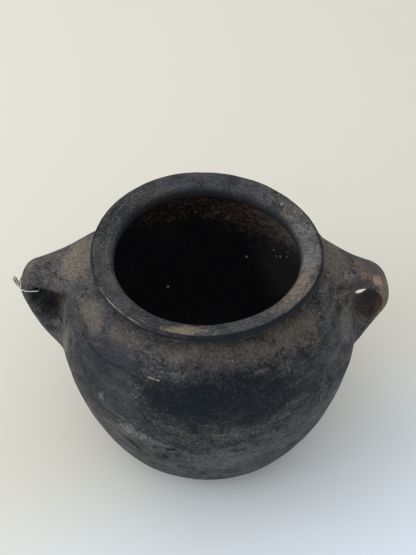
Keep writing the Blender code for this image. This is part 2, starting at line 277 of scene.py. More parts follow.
@dataclass(frozen=True)
class HandShape:
    """How the fired pot strays from its turned form: a wavy rim, a shifted belly and thumbed lumps."""

    rim_oval: tuple[tuple[int, float, float], ...] = ((0, 0.40, 0.0), (2, 0.66, -0.09), (3, 0.11, -0.53))
    rim_wave: tuple[tuple[int, float, float], ...] = ((0, 0.30, 0.0), (1, -0.28, 2.07), (2, 0.68, -1.16))
    wave_heights: Pair = (0.112, 0.141)
    wave_radii: Pair = (0.072, 0.088)
    belly_shift: float = 0.0007
    shift_heights: Pair = (0.0, 0.045)
    body_radii: Pair = (0.0915, 0.101)
    lump_size: float = 0.046
    lump_height: float = 0.00045

    @staticmethod
    def harmonics(terms: tuple[tuple[int, float, float], ...], turn: Array) -> Array:
        """The sum of cosine and sine waves round the pot, each given as its count and two heights in mm."""
        return MM * sum(c * np.cos(n * turn) + s * np.sin(n * turn) for n, c, s in terms)

    def settle(self, points: Array) -> Array:
        """Points of the turned form, moved to where they lie on the real pot.

        The rim's waves fade out below the shoulder and away from the mouth, and the belly's shift and lumps
        fade out past the wall, so that the handles' bends stay where the frame has them.

        Args:
            points: Points along the last axis.

        Returns:
            The moved points.
        """
        radius = np.hypot(points[..., 0], points[..., 1])
        turn = np.arctan2(points[..., 1], points[..., 0])
        height = points[..., 2]
        top = eased(height, *self.wave_heights) * (1 - eased(radius, *self.wave_radii))
        body = (1 - eased(radius, *self.body_radii)) * (1 - top) * eased(height, *self.shift_heights)
        swell = top * self.harmonics(self.rim_oval, turn)
        swell = swell + body * self.lump_height * lumps(points, self.lump_size, 5)
        moved = points.copy()
        moved[..., 0] += swell * np.cos(turn) + body * self.belly_shift
        moved[..., 1] += swell * np.sin(turn)
        moved[..., 2] += top * self.harmonics(self.rim_wave, turn)
        return moved


@dataclass(frozen=True)
class Dent:
    """A hollow pressed or scraped into the wall along a short broken line."""

    line: tuple[Point, ...]
    width: float
    depth: float

    def hollow(self, points: Array) -> Array:
        """How far each point sinks: depth * exp(-(distance / width) ** 2)."""
        gaps = [segment_distance(points, start, end) for start, end in zip(self.line, self.line[1:])]
        return self.depth * np.exp(-((np.minimum.reduce(gaps) / self.width) ** 2))


SHOULDER_GROOVE = (
    (-0.0706, -0.0389, 0.1169),
    (-0.0644, -0.0484, 0.1172),
    (-0.0592, -0.0546, 0.1171),
    (-0.0523, -0.0606, 0.1178),
    (-0.0452, -0.0652, 0.1191),
    (-0.0374, -0.0707, 0.1180),
)
BELLY_GOUGE = ((-0.0478, -0.0740, 0.0674), (-0.0443, -0.0761, 0.0659), (-0.0400, -0.0772, 0.0608))
LOWER_CHIP = ((-0.0285, -0.0810, 0.0549), (-0.0250, -0.0821, 0.0546))
DENTS = (
    Dent(SHOULDER_GROOVE, 0.0013, 0.00042),
    Dent(((-0.0618, -0.0478, 0.1205), (-0.0545, -0.0562, 0.1208)), 0.0010, 0.00030),
    Dent(((-0.0220, -0.0860, 0.0718), (-0.0190, -0.0870, 0.0745)), 0.0010, 0.00085),
    Dent(((-0.0262, -0.0835, 0.0630), (-0.0236, -0.0840, 0.0618)), 0.0011, 0.00085),
    Dent(LOWER_CHIP, 0.0012, 0.00075),
    Dent(BELLY_GOUGE, 0.0013, 0.0006),
    Dent(
        ((-0.0353, -0.0799, 0.1004), (-0.0332, -0.0821, 0.0965), (-0.0308, -0.0828, 0.0962)),
        0.0008,
        0.00032,
    ),
    Dent(((-0.0513, -0.0684, 0.1066), (-0.0505, -0.0692, 0.1058)), 0.0009, 0.0004),
    Dent(((0.0108, -0.0834, 0.1102), (0.0112, -0.0836, 0.1092)), 0.0011, 0.0004),
    Dent(((0.0150, 0.0860, 0.0930), (0.0250, 0.0835, 0.0900)), 0.0016, 0.0005),
    Dent(((-0.0500, 0.0690, 0.0620), (-0.0430, 0.0735, 0.0650)), 0.0018, 0.0006),
    Dent(((0.0610, 0.0600, 0.0700), (0.0622, 0.0588, 0.0700)), 0.0016, 0.0007),
    Dent(((0.0300, 0.0640, 0.1200), (0.0420, 0.0580, 0.1190), (0.0520, 0.0490, 0.1200)), 0.0012, 0.0004),
)


@dataclass(frozen=True)
class ClaySurface:
    """The fine ups and downs that a potter's hands and tools leave on clay."""

    swell_size: float = 0.016
    swell_height: float = 0.00020
    dab_size: float = 0.0072
    dab_height: float = 0.00011
    grit_size: float = 0.0031
    grit_height: float = 0.00005
    rill_spacing: float = 0.0046
    rill_height: float = 0.00009
    rill_lean: float = 0.6
    rill_change: float = 1.5
    flatten: float = 1.7

    def relief(self, points: Array) -> Array:
        """How far the clay stands out at each point.

        It is the sum of three sizes of lumps that are wider than high, of rills that run round the pot and
        change slowly on their way, and of the dents.

        Args:
            points: Points along the last axis.

        Returns:
            Distances along the surface's normal.
        """
        wide = points * np.array((1.0, 1.0, self.flatten))
        turn = np.arctan2(points[..., 1], points[..., 0])
        radius = np.hypot(points[..., 0], points[..., 1])
        level = (points[..., 2] + self.rill_lean * radius) / self.rill_spacing
        change = self.rill_change
        rills = np.stack([change * np.cos(turn), change * np.sin(turn), level], axis=-1)
        height = self.swell_height * lumps(wide, self.swell_size, 11)
        height += self.dab_height * lumps(wide, self.dab_size, 12)
        height += self.grit_height * lumps(points, self.grit_size, 13)
        height += self.rill_height * lumps(rills, 1.0, 14)
        for dent in DENTS:
            height -= dent.hollow(points)
        return height


@dataclass
class Vessel:
    """The turned body: its section is one line from the base's middle up, over the rim and down inside."""

    height: float = 0.147
    wall: float = 0.007
    floor_thickness: float = 0.009
    belly_radius: float = 0.090
    belly_height: float = 0.085
    base_radius: float = 0.052
    inner_floor_radius: float = 0.046
    throat_radius: float = 0.052
    rim_radius: float = 0.065
    lip_height: float = 0.004
    rim_fall: float = 0.0025
    edge_round: float = 0.0026
    inner_round: float = 0.004
    neck_drop: float = 0.0115
    shoulder_seam: Pair = (0.106, 0.112)
    base_seam: float = 0.0025
    axis_gap: float = 0.0009
    line_spacing: float = 0.0002
    edge_softness: float = 0.0005
    neck_softness: float = 0.0021
    neck_reach: float = 0.0060
    lip_radii: Pair = (0.0622, 0.0642)
    lip_heights: Pair = (0.1416, 0.1434)
    brow_radii: Pair = (0.0632, 0.0640)
    brow_heights: Pair = (0.1448, 0.1456)
    columns: int = 480
    seam_rows: int = 2
    bowl_points: int = 400
    shoulder_points: int = 300
    throat_drop: float = 0.0085
    resting_height: float = 0.004
    minor_weight: float = 0.05
    sharp: float = math.radians(60)

    def __post_init__(self) -> None:
        """Works out the section's line, its normals and its marks."""
        self.hand = HandShape()
        self.clay = ClaySurface()
        self.line = self.section_line()
        slope = np.gradient(self.line, axis=0)
        self.normal = unit(np.stack([slope[:, 1], -slope[:, 0]], axis=1))
        self.steps = np.arange(len(self.line))
        self.crest = int(np.argmax(self.line[:, 1]))
        neck = self.height - self.neck_drop
        self.marks = {
            "axis_out": self.axis_gap / self.line_spacing,
            "base_out": self.mark(self.base_radius, self.base_seam, False),
            "shoulder_out": self.mark(self.belly_radius, self.shoulder_seam[0], False),
            "neck_out": self.mark(self.throat_radius + self.wall, neck, False),
            "lip_in": self.mark(self.throat_radius + self.inner_round, self.height - self.rim_fall, True),
            "throat_in": self.mark(self.throat_radius, self.height - self.throat_drop, True),
            "neck_in": self.mark(self.throat_radius, neck, True),
            "shoulder_in": self.mark(self.belly_radius, self.shoulder_seam[1], True),
            "base_in": self.mark(self.inner_floor_radius, self.floor_thickness, True),
            "axis_in": len(self.line) - 1 - self.axis_gap / self.line_spacing,
        }

    def section_line(self) -> Array:
        """The section from the base's middle to the floor's middle, with its corners worn round.

        The line is read off at an even spacing and blurred a little all along, and more near the neck's two
        creases.

        Returns:
            Rows of radius and height.
        """
        neck = self.height - self.neck_drop
        neck_radius = self.throat_radius + self.wall
        outer = WallSide(neck_radius, neck, self.belly_radius, self.belly_height, self.base_radius, 0.0)
        inner = WallSide(
            self.throat_radius,
            neck,
            self.belly_radius - self.wall,
            self.belly_height,
            self.inner_floor_radius,
            self.floor_thickness,
        )
        lip = self.height - self.lip_height
        edge = self.edge_round
        curl = self.inner_round
        inner_edge = self.throat_radius + curl
        fall = self.height - self.rim_fall
        parts = [
            np.array([(0.0, 0.0)]),
            outer.quarter(False, self.bowl_points)[::-1],
            outer.quarter(True, self.shoulder_points),
            elliptic_arc((self.rim_radius, neck), (self.rim_radius - neck_radius, lip - neck), 180, 90),
            elliptic_arc((self.rim_radius - edge, self.height - edge), (edge, edge), 0, 90),
            elliptic_arc((inner_edge, fall - curl), (curl, curl), 90, 180),
            inner.quarter(True, self.shoulder_points)[::-1],
            inner.quarter(False, self.bowl_points),
            np.array([(0.0, self.floor_thickness)]),
        ]
        line = evenly_spaced(np.vstack(parts), self.line_spacing)
        creases = np.array(((neck_radius, neck), (self.throat_radius, neck)))
        gap = np.linalg.norm(line[:, None] - creases[None], axis=2).min(axis=1)
        share = np.exp(-((gap / self.neck_reach) ** 2))[:, None]
        fine = blurred(line, self.edge_softness / self.line_spacing)
        broad = blurred(line, self.neck_softness / self.line_spacing)
        line = fine * (1 - share) + broad * share
        line[[0, -1], 0] = 0.0
        return line

    def mark(self, radius: float, height: float, inside: bool) -> float:
        """The section's step on one side that is nearest in height, or in radius on the floor."""
        target = np.array((radius, height))
        on_floor = inside and height <= self.floor_thickness
        weight = np.array((1.0, self.minor_weight) if on_floor else (self.minor_weight, 1.0))
        gap = np.linalg.norm((self.line - target) * weight, axis=1)
        hidden = self.steps <= self.crest if inside else self.steps > self.crest
        return float(np.argmin(np.where(hidden, np.inf, gap)))

    def surface(self, steps: Array) -> tuple[Array, ...]:
        """The skin over a stretch of the section's line, carried all round.

        A point of the line at radius r goes to (r cos t, r sin t) for t from 0 to 360 degrees. It then
        moves along its normal by the clay's relief, and with the whole pot's unevenness.

        Args:
            steps: Places along the section's line.

        Returns:
            Points, shares of inside, relief, and shares of the lip's face and of its rounded brow, as rows
            along the line and columns round the pot.
        """
        turn = np.linspace(0, 2 * math.pi, self.columns, endpoint=False)
        heading = np.stack([np.cos(turn), np.sin(turn)], axis=1)
        line = np.stack([np.interp(steps, self.steps, column) for column in self.line.T], axis=1)
        normal = np.stack([np.interp(steps, self.steps, column) for column in self.normal.T], axis=1)
        points = np.empty((len(steps), self.columns, 3))
        points[..., :2] = line[:, None, :1] * heading[None]
        points[..., 2] = line[:, 1:]
        away = np.empty_like(points)
        away[..., :2] = normal[:, None, :1] * heading[None]
        away[..., 2] = normal[:, 1:]
        relief = self.clay.relief(points)
        if steps[-1] <= self.crest:
            relief = relief * eased(points[..., 2], 0.0, self.resting_height)
        inside = eased(steps, self.marks["lip_in"], self.marks["throat_in"])
        lip = eased(line[:, 0], *self.lip_radii) * eased(line[:, 1], *self.lip_heights)
        brow = eased(line[:, 0], *self.brow_radii) * eased(line[:, 1], *self.brow_heights)
        shares = (np.repeat(share[:, None], self.columns, axis=1) for share in (inside, lip, brow))
        inside, lip, brow = shares
        return self.hand.settle(points + away * relief[..., None]), inside, relief, lip, brow

    def stretch(self, start: str, end: str, spacing: float) -> Array:
        """Places along the section's line between two marks, about a spacing apart."""
        first, last = self.marks[start], self.marks[end]
        return np.linspace(first, last, max(2, round((last - first) * self.line_spacing / spacing) + 1))

    def piece(self, name: str, stretches: tuple[Stretch, ...], joined: bool) -> bpy.types.Object:
        """A closed piece of the pot from its stretches of skin, joined by straight seams through the wall.

        Args:
            name: The piece's name.
            stretches: For each stretch, its first mark, its last mark and the spacing of its rows.
            joined: Whether a seam also joins the last stretch to the first.

        Returns:
            The piece's object.
        """
        skins = [self.surface(self.stretch(*stretch)) for stretch in stretches]
        rows: list[list[Array]] = [[], [], [], [], []]
        for number, layers in enumerate(skins):
            after = skins[(number + 1) % len(skins)]
            for store, layer, next_layer in zip(rows, layers, after):
                store.append(layer)
                if number + 1 == len(skins) and not joined:
                    continue
                share = np.linspace(0, 1, self.seam_rows + 2)[1:-1].reshape((-1,) + (1,) * (layer.ndim - 1))
                store.append(layer[-1:] * (1 - share) + next_layer[:1] * share)
        points, inside, relief, lip, brow = (np.concatenate(store) for store in rows)
        traits = {"inside": inside, "relief": relief / MM, "lip": lip, "brow": brow}
        return skin(name, points, joined, traits, self.sharp)

    def outer_line(self) -> Array:
        """The outside of the section, from the base's edge up to the lip, as rows of radius and height."""
        first = int(self.marks["base_out"])
        top = self.mark(self.rim_radius, self.height - self.lip_height, False)
        return self.line[first : int(top)]


@dataclass(frozen=True)
class Root:
    """How a strap's end grows into the wall, and the fillets over its outer face, edges and inner face."""

    outer: float
    edge: float
    inner: float
    rises: bool
    spread: float
    spread_power: float
    swell: float
    swell_power: float
    sweep: float
    reach: float


def between_rings(rings: Array, place: Array) -> Array:
    """Each column's point at its own fractional place among the rings, as rows of places and columns."""
    low = np.clip(np.floor(place).astype(int), 0, len(rings) - 2)
    share = (place - low)[..., None]
    column = np.arange(rings.shape[1])
    return rings[low, column] * (1 - share) + rings[low + 1, column] * share


@dataclass(frozen=True)
class StrapHandle:
    """A strap of clay bent from the neck down to the belly, in an upright plane at its side of the pot."""

    name: str
    side: Side
    width: float
    shift: float
    bend_centre: Pair
    bend_radius: float
    upper_slope: float
    lower_lean: float
    upper: Root
    lower: Root
    squareness: float
    thickness: float = 0.009
    worn: float = 0.0
    worn_reach: float = 0.012
    columns: int = 96
    bend_rings: int = 44
    trace_rings: int = 160
    run_rings: int = 28
    fillet_rings: int = 18
    end_rings: int = 9
    end_close: float = 0.94
    least_run: float = 0.12
    bare_relief: float = 0.55
    root_blend: float = 3.0
    sink: float = 0.0003
    bury: float = 0.0018
    sharp: float = math.radians(60)

    def section(self) -> tuple[Array, Array, Array, Array]:
        """The strap's section, a superellipse: |out| ** n + |sideways| ** n = 1.

        Returns:
            Each column's place outwards and sideways, and its normal outwards and sideways.
        """
        turn = np.linspace(0, 2 * math.pi, self.columns, endpoint=False)
        power = 2 / self.squareness
        out = np.sign(np.sin(turn)) * np.abs(np.sin(turn)) ** power
        sideways = np.sign(np.cos(turn)) * np.abs(np.cos(turn)) ** power
        steep = self.squareness - 1
        normal = np.stack(
            [
                np.sign(out) * np.abs(out) ** steep / self.thickness,
                np.sign(sideways) * np.abs(sideways) ** steep / self.width,
            ],
            axis=1,
        )
        normal = unit(normal)
        return out, sideways, normal[:, 0], normal[:, 1]

    def rings(self, angle: Array, along: Array, root: Root) -> Array:
        """Rings of the strap at stations on its bend or on from it.

        A station's middle is the bend's centre plus the bend radius along (cos a, sin a). On from the bend
        it follows an arc of the root's sweep radius. With the share of the root's reach, the ring widens by
        the spread and thickens on its inner side by the swell, each to its own power. Near the bend the
        inner half may be worn thinner.

        Args:
            angle: The bend's angle at each station.
            along: The distance on from the bend, negative towards the neck.
            root: The root that the stations lead to.

        Returns:
            Points as stations, columns and three coordinates.
        """
        out, sideways, _, _ = self.section()
        turned = angle - along / root.sweep
        start = np.stack([np.cos(angle), np.sin(angle)], axis=1)
        normal = np.stack([np.cos(turned), np.sin(turned)], axis=1)
        middle = np.array(self.bend_centre) + self.bend_radius * start + root.sweep * (normal - start)
        share = np.abs(along) / root.reach
        swell = (root.swell * share**root.swell_power)[:, None] / 2
        thinned = self.worn * np.exp(-((along / self.worn_reach) ** 2))[:, None] * (out < 0)
        outwards = (self.thickness / 2 * (1 - thinned) + swell) * out - swell
        across = (self.width + root.spread * share**root.spread_power)[:, None] / 2 * sideways + self.shift
        flat = middle[:, None] + normal[:, None] * outwards[..., None]
        return np.stack([self.side.value * flat[..., 0], across, flat[..., 1]], axis=-1)

    def foot(self, vessel: Vessel, line: Array, root: Root) -> tuple[Array, Array]:
        """The strap's end from its bend to the wall, with a fillet all round.

        Each column's line through the rings meets the wall at a corner, and the places where they do are
        evened out between neighbours. The column follows the line to within a fillet's length of the
        corner, and then a parabola that leaves the line smoothly and ends on the wall, a fillet's length
        past it.

        Args:
            vessel: The pot's body.
            line: Rings of the strap from its bend to deep inside the wall.
            root: The root's fillets.

        Returns:
            Rings of points towards the wall, and each ring's share of the way onto it.
        """
        _, _, out, sideways = self.section()
        wall = vessel.outer_line()
        length = np.concatenate([[0.0], np.cumsum(np.linalg.norm(np.diff(wall, axis=0), axis=1))])
        gap = np.hypot(line[..., 0], line[..., 1]) - np.interp(line[..., 2], wall[:, 1], wall[:, 0])
        column = np.arange(self.columns)
        after = np.maximum(np.argmax(gap <= 0, axis=0), 1)
        clear, sunk = gap[after - 1, column], gap[after, column]
        meeting = np.tile(after - 1 + clear / (clear - sunk), 3)[:, None]
        meeting = blurred(meeting, self.root_blend)[self.columns : 2 * self.columns, 0]
        pace = np.linalg.norm(line[after, column] - line[after - 1, column], axis=-1)
        face = np.where(out > 0, root.outer, root.inner)
        fillet = out**2 * face + sideways**2 * root.edge
        leave = np.maximum(meeting - fillet / pace, self.least_run * meeting)
        runs = np.linspace(0, 1, self.run_rings + 1)[1:, None]
        straight = between_rings(line, runs * leave)
        corner = between_rings(line, meeting[None])[0]
        start = straight[-1]
        travel = unit(start - between_rings(line, leave[None] - 0.5)[0])
        control = start + travel * np.linalg.norm(corner - start, axis=-1, keepdims=True)
        climb = fillet * out * (1 if root.rises else -1)
        place = np.clip(np.interp(corner[:, 2], wall[:, 1], length) + climb, 0, length[-1])
        radius, height = np.interp(place, length, wall[:, 0]), np.interp(place, length, wall[:, 1])
        turn = np.arctan2(corner[:, 1], self.side.value * corner[:, 0]) + fillet * sideways / radius
        end = np.stack([self.side.value * radius * np.cos(turn), radius * np.sin(turn), height], axis=1)
        slope = np.stack([np.interp(place, length, np.gradient(part, length)) for part in wall.T], axis=1)
        inward = np.stack(
            [
                -self.side.value * slope[:, 1] * np.cos(turn),
                -slope[:, 1] * np.sin(turn),
                slope[:, 0],
            ],
            axis=1,
        )
        t = np.linspace(0, 1, self.fillet_rings + 1)[1:, None, None]
        curve = (1 - t) ** 2 * start + 2 * t * (1 - t) * control + t**2 * end
        curve += t**2 * inward * self.sink
        hidden = self.hidden_end(wall, end + inward * self.bury)
        shares = np.concatenate([np.zeros(self.run_rings), t.ravel() ** 2, np.ones(self.end_rings)])
        return np.concatenate([straight, curve, hidden]), shares

    def hidden_end(self, wall: Array, edge: Array) -> Array:
        """The strap's end inside the wall, as rings that close in on the edge's middle.

        A ring's point lies on the straight line from the edge to its middle, and is then moved along the
        radius to a depth under the wall's face, so that the end bends round with the wall.

        Args:
            wall: The wall's face as rows of radius and height.
            edge: The ring of points that the end closes.

        Returns:
            Rings of points.
        """
        share = np.linspace(0, self.end_close, self.end_rings)[:, None, None]
        rings = edge * (1 - share) + edge.mean(axis=0) * share
        turn = np.arctan2(rings[..., 1], rings[..., 0])
        radius = np.interp(rings[..., 2], wall[:, 1], wall[:, 0]) - self.bury
        return np.stack([radius * np.cos(turn), radius * np.sin(turn), rings[..., 2]], axis=-1)

    def form(self, vessel: Vessel) -> tuple[Array, Array]:
        """The smooth handle: upper root, bend and lower root.

        Args:
            vessel: The pot's body.

        Returns:
            Rings of points from the neck to the belly, and each ring's share of the way onto the wall.
        """
        first, last = math.pi / 2 - self.upper_slope, -self.lower_lean
        bend = np.linspace(first, last, self.bend_rings)
        level = np.zeros(self.bend_rings)
        ends = []
        for angle, root, way in ((first, self.upper, -1.0), (last, self.lower, 1.0)):
            along = np.linspace(0, way * root.reach, self.trace_rings)
            ends.append(self.foot(vessel, self.rings(np.full(self.trace_rings, angle), along, root), root))
        (upper, upper_share), (lower, lower_share) = ends
        points = np.concatenate([upper[::-1], self.rings(bend, level, self.upper), lower])
        return points, np.concatenate([upper_share[::-1], level, lower_share])

    def build(self, vessel: Vessel) -> bpy.types.Object:
        """The whole handle, with the clay's relief on it.

        Args:
            vessel: The pot's body.

        Returns:
            The handle's object.
        """
        points, share = self.form(vessel)
        along = np.gradient(points, axis=0)
        round_it = np.roll(points, -1, axis=1) - np.roll(points, 1, axis=1)
        away = unit(np.cross(round_it, along))
        centre = points.mean(axis=1, keepdims=True)
        away *= np.sign(np.sum(away * (points - centre)))
        fullness = self.bare_relief + (1 - self.bare_relief) * share[:, None]
        relief = vessel.clay.relief(points) * fullness
        moved = vessel.hand.settle(points + away * relief[..., None])
        return skin(self.name, moved, False, {"relief": relief / MM}, self.sharp)


LEFT_HANDLE = StrapHandle(
    name="left_handle_clay",
    side=Side.LEFT,
    width=0.0225,
    shift=0.0024,
    bend_centre=(0.0978, 0.116),
    bend_radius=0.008,
    squareness=2.2,
    upper_slope=math.radians(14),
    lower_lean=math.radians(8),
    upper=Root(0.004, 0.0165, 0.014, True, 0.050, 1.1, 0.014, 1.3, 2.0, 0.0508),
    lower=Root(0.012, 0.012, 0.014, False, 0.024, 1.5, 0.028, 1.3, 0.12, 0.072),
)
RIGHT_HANDLE = StrapHandle(
    name="right_handle_clay",
    side=Side.RIGHT,
    width=0.0225,
    shift=0.002,
    bend_centre=(0.090, 0.1085),
    bend_radius=0.014,
    worn=0.76,
    worn_reach=0.015,
    squareness=2.5,
    upper_slope=math.radians(21),
    lower_lean=math.radians(22),
    upper=Root(0.004, 0.014, 0.029, True, 0.078, 1.85, 0.036, 1.3, 2.0, 0.0506),
    lower=Root(0.005, 0.012, 0.018, False, 0.020, 1.5, 0.022, 1.3, 0.59, 0.072),
)


@dataclass(frozen=True)
class TieWire:
    """A thin wire bent once round the left handle's bend, with its two ends twisted together outside."""

    handle: StrapHandle
    diameter: float = 0.0008
    clearance: float = 0.0003
    rise: float = 0.0007
    tilt: float = math.radians(16)
    outer_squareness: float = 2.1
    inner_squareness: float = 6.0
    twist_turn: float = math.radians(-35)
    twist_opening: float = math.radians(9)
    twist_radius: float = 0.0010
    twist_length: float = 0.0058
    twist_turns: float = 1.75
    twist_standoff: float = 0.0008
    twist_direction: Point = (-0.5, 0.6, 0.55)
    spacing: float = 0.00016
    softness: float = 0.00045
    tarnish: Pair = (0.0100, 0.0128)
    chamfer: Pair = (-0.0001, 0.00022)
    tip: float = 0.72
    loop_points: int = 240
    strand_points: int = 60
    columns: int = 16
    sharp: float = math.radians(45)

    def loop(self, turn: Array) -> Array:
        """Points of the loop round the strap, relative to the bend's centre.

        The loop is the strap's section, a superellipse, grown by the clearance and half the wire and
        squarer on its inner side. It lies in a plane that falls towards +Y. A point at a distance d from
        the bend's axis, at a height over it, is at sqrt(d * d - height * height) outwards.

        Args:
            turn: Angles round the section, from the outer face towards +Y.

        Returns:
            Points in the frame's directions.
        """
        grow = self.clearance + self.diameter / 2
        half_side = self.handle.width / 2 + grow
        power = 2 / np.where(np.cos(turn) > 0, self.outer_squareness, self.inner_squareness)
        out = np.sign(np.cos(turn)) * np.abs(np.cos(turn)) ** power * (self.handle.thickness / 2 + grow)
        sideways = np.sign(np.sin(turn)) * np.abs(np.sin(turn)) ** power * half_side
        top = self.handle.bend_radius - self.handle.thickness / 2 + self.rise
        height = top - math.tan(self.tilt) * (sideways + half_side)
        distance = self.handle.bend_radius + out
        outwards = np.sqrt(np.maximum(distance**2 - height**2, 0))
        return np.stack([self.handle.side.value * outwards, sideways, height], axis=-1)

    def route(self) -> Array:
        """The whole wire from tip to tip, at an even spacing: strand, loop and strand.

        A strand is a helix about the twist's axis: its root plus the axis times the length plus the twist
        radius along (cos a, sin a). The joined line is read off evenly and blurred, so that it bends as a
        wire does.

        Returns:
            Points in the frame.
        """
        start = self.twist_turn + self.twist_opening
        end = self.twist_turn - self.twist_opening + 2 * math.pi
        loop = self.loop(np.linspace(start, end, self.loop_points))
        axis = unit(np.array(self.twist_direction))
        sideways = np.array((0.0, 1.0, 0.0))
        first = unit(sideways - axis * (sideways @ axis))
        second = np.cross(axis, first)
        root = self.loop(np.array(self.twist_turn)) + axis * self.twist_standoff
        share = np.linspace(0, 1, self.strand_points)[:, None]
        strands = []
        for phase in (0.0, math.pi):
            angle = phase + 2 * math.pi * self.twist_turns * share
            ring = self.twist_radius * (np.cos(angle) * first + np.sin(angle) * second)
            strands.append(root + axis * self.twist_length * share + ring)
        line = evenly_spaced(np.vstack([strands[0][::-1], loop, strands[1]]), self.spacing)
        line = evenly_spaced(blurred(line, self.softness / self.spacing), self.spacing)
        radius, height = self.handle.bend_centre
        return line + np.array((self.handle.side.value * radius, self.handle.shift, height))

    def build(self) -> bpy.types.Object:
        """The wire as a round tube along its route, with its cut ends a little chamfered.

        Each ring's frame is the one before it, turned by as little as the route bends.

        Returns:
            The wire's object.
        """
        line = self.route()
        tangent = unit(np.gradient(line, axis=0))
        across = np.cross(tangent[0], (0.0, 0.0, 1.0))
        frames = []
        for heading in tangent:
            across = unit(across - heading * (across @ heading))
            frames.append(across)
        first = np.array(frames)
        second = np.cross(tangent, first)
        ends = np.minimum(np.arange(len(line)), np.arange(len(line))[::-1]) * self.spacing
        radius = self.diameter / 2 * (self.tip + (1 - self.tip) * eased(ends, *self.chamfer))
        turn = np.linspace(0, 2 * math.pi, self.columns, endpoint=False)
        rings = first[:, None] * np.cos(turn)[None, :, None] + second[:, None] * np.sin(turn)[None, :, None]
        grid = line[:, None] + rings * radius[:, None, None]
        dulled = np.repeat(1 - eased(ends, *self.tarnish)[:, None], self.columns, axis=1)
        return skin("tie_wire_twist", grid, False, {"dulled": dulled}, self.sharp)


class NodeSheet:
    """Draws nodes in one node tree and links them up."""

    def __init__(self, tree: bpy.types.NodeTree) -> None:
        """Starts on a tree."""
        self.tree = tree

    def add(self, kind: str, **settings: object) -> bpy.types.Node:
        """A new node of one kind, with its settings."""
        node = self.tree.nodes.new(kind)
        for name, value in settings.items():
            setattr(node, name, value)
        return node

    def feed(self, target: Socket, value: object) -> None:
        """Links a socket to another, or sets its plain value."""
        if isinstance(value, bpy.types.NodeSocket):
            self.tree.links.new(value, target)
        else:
            target.default_value = value

    def math(self, operation: str, *values: object) -> Socket:
        """A Math node's result."""
        node = self.add("ShaderNodeMath", operation=operation)
        for target, value in zip(node.inputs, values):
            self.feed(target, value)
        return node.outputs[0]

    def vector(self, operation: str, *values: object) -> Socket:
        """A Vector Math node's result, a number for a length or a dot product."""
        node = self.add("ShaderNodeVectorMath", operation=operation)
        for target, value in zip(node.inputs, values):
            self.feed(target, value)
        return node.outputs["Value" if operation in ("LENGTH", "DOT_PRODUCT") else "Vector"]

    def times(self, first: object, second: object) -> Socket:
        """The product of two numbers."""
        return self.math("MULTIPLY", first, second)

    def scaled(self, vector: Socket, factor: Socket) -> Socket:
        """A vector times a number."""
        node = self.add("ShaderNodeVectorMath", operation="SCALE")
        self.feed(node.inputs[0], vector)
        self.feed(node.inputs["Scale"], factor)
        return node.outputs[0]

    def object_place(self) -> Socket:
        """Object coordinates."""
        return self.add("ShaderNodeTexCoord").outputs["Object"]

    def trait(self, name: str) -> Socket:
        """A piece's own value of one name at each point."""
        return self.add("ShaderNodeAttribute", attribute_name=name).outputs["Fac"]

    def bump(self, height: Socket, strength: float, depth: float) -> Socket:
        """A normal that is tilted by a height."""
        node = self.add("ShaderNodeBump")
        node.inputs["Strength"].default_value = strength
        node.inputs["Distance"].default_value = depth
        self.feed(node.inputs["Height"], height)
        return node.outputs[0]

    def noise(self, place: Socket, scale: float, detail: float, roughness: float) -> Socket:
        """A Noise Texture's value from 0 to 1."""
        node = self.add("ShaderNodeTexNoise")
        self.feed(node.inputs["Vector"], place)
        for name, number in (("Scale", scale), ("Detail", detail), ("Roughness", roughness)):
            node.inputs[name].default_value = number
        return node.outputs[0]

    def ramp(
        self, value: Socket, low: object, high: object, start: float = 0.0, end: float = 1.0
    ) -> Socket:
        """A smooth step of a value from low to high, to run from start to end."""
        node = self.add("ShaderNodeMapRange", interpolation_type="SMOOTHSTEP")
        for name, number in (("From Min", low), ("From Max", high), ("To Min", start), ("To Max", end)):
            self.feed(node.inputs[name], number)
        self.feed(node.inputs["Value"], value)
        return node.outputs[0]

    def mix(self, share: object, first: object, second: object) -> Socket:
        """A colour between two others."""
        node = self.add("ShaderNodeMix", data_type="RGBA")
        self.feed(node.inputs[0], share)
        self.feed(node.inputs[6], first)
        self.feed(node.inputs[7], second)
        return node.outputs[2]

    def place(self, group: bpy.types.NodeTree, **values: object) -> bpy.types.Node:
        """A shared group placed in this tree, with its inputs fed by name (an underscore for a space)."""
        node = self.add("ShaderNodeGroup", node_tree=group)
        for name, value in values.items():
            self.feed(node.inputs[name.replace("_", " ")], value)
        return node


SOCKETS = {"vector": "NodeSocketVector", "number": "NodeSocketFloat", "colour": "NodeSocketColor"}


def new_group(
    name: str, inputs: dict[str, str], outputs: dict[str, str]
) -> tuple[NodeSheet, dict[str, Socket], bpy.types.Node]:
    """A new shader node group.

    Args:
        name: The group's name.
        inputs: The kind of each input: vector, number or colour.
        outputs: The kind of each output.

    Returns:
        A sheet to draw the group on, its input sockets by name, and its output node.
    """
    tree = bpy.data.node_groups.new(name, "ShaderNodeTree")
    for label, kind in inputs.items():
        tree.interface.new_socket(label, in_out="INPUT", socket_type=SOCKETS[kind])
    for label, kind in outputs.items():
        tree.interface.new_socket(label, in_out="OUTPUT", socket_type=SOCKETS[kind])
    sheet = NodeSheet(tree)
    source = sheet.add("NodeGroupInput")
    given = {socket.name: socket for socket in source.outputs if socket.name}
    return sheet, given, sheet.add("NodeGroupOutput")


def new_material(name: str) -> tuple[bpy.types.Material, NodeSheet, bpy.types.Node]:
    """A new material, a sheet to draw its nodes on, and its shader."""
    material = bpy.data.materials.new(name)
    material.use_nodes = True
    return material, NodeSheet(material.node_tree), material.node_tree.nodes["Principled BSDF"]


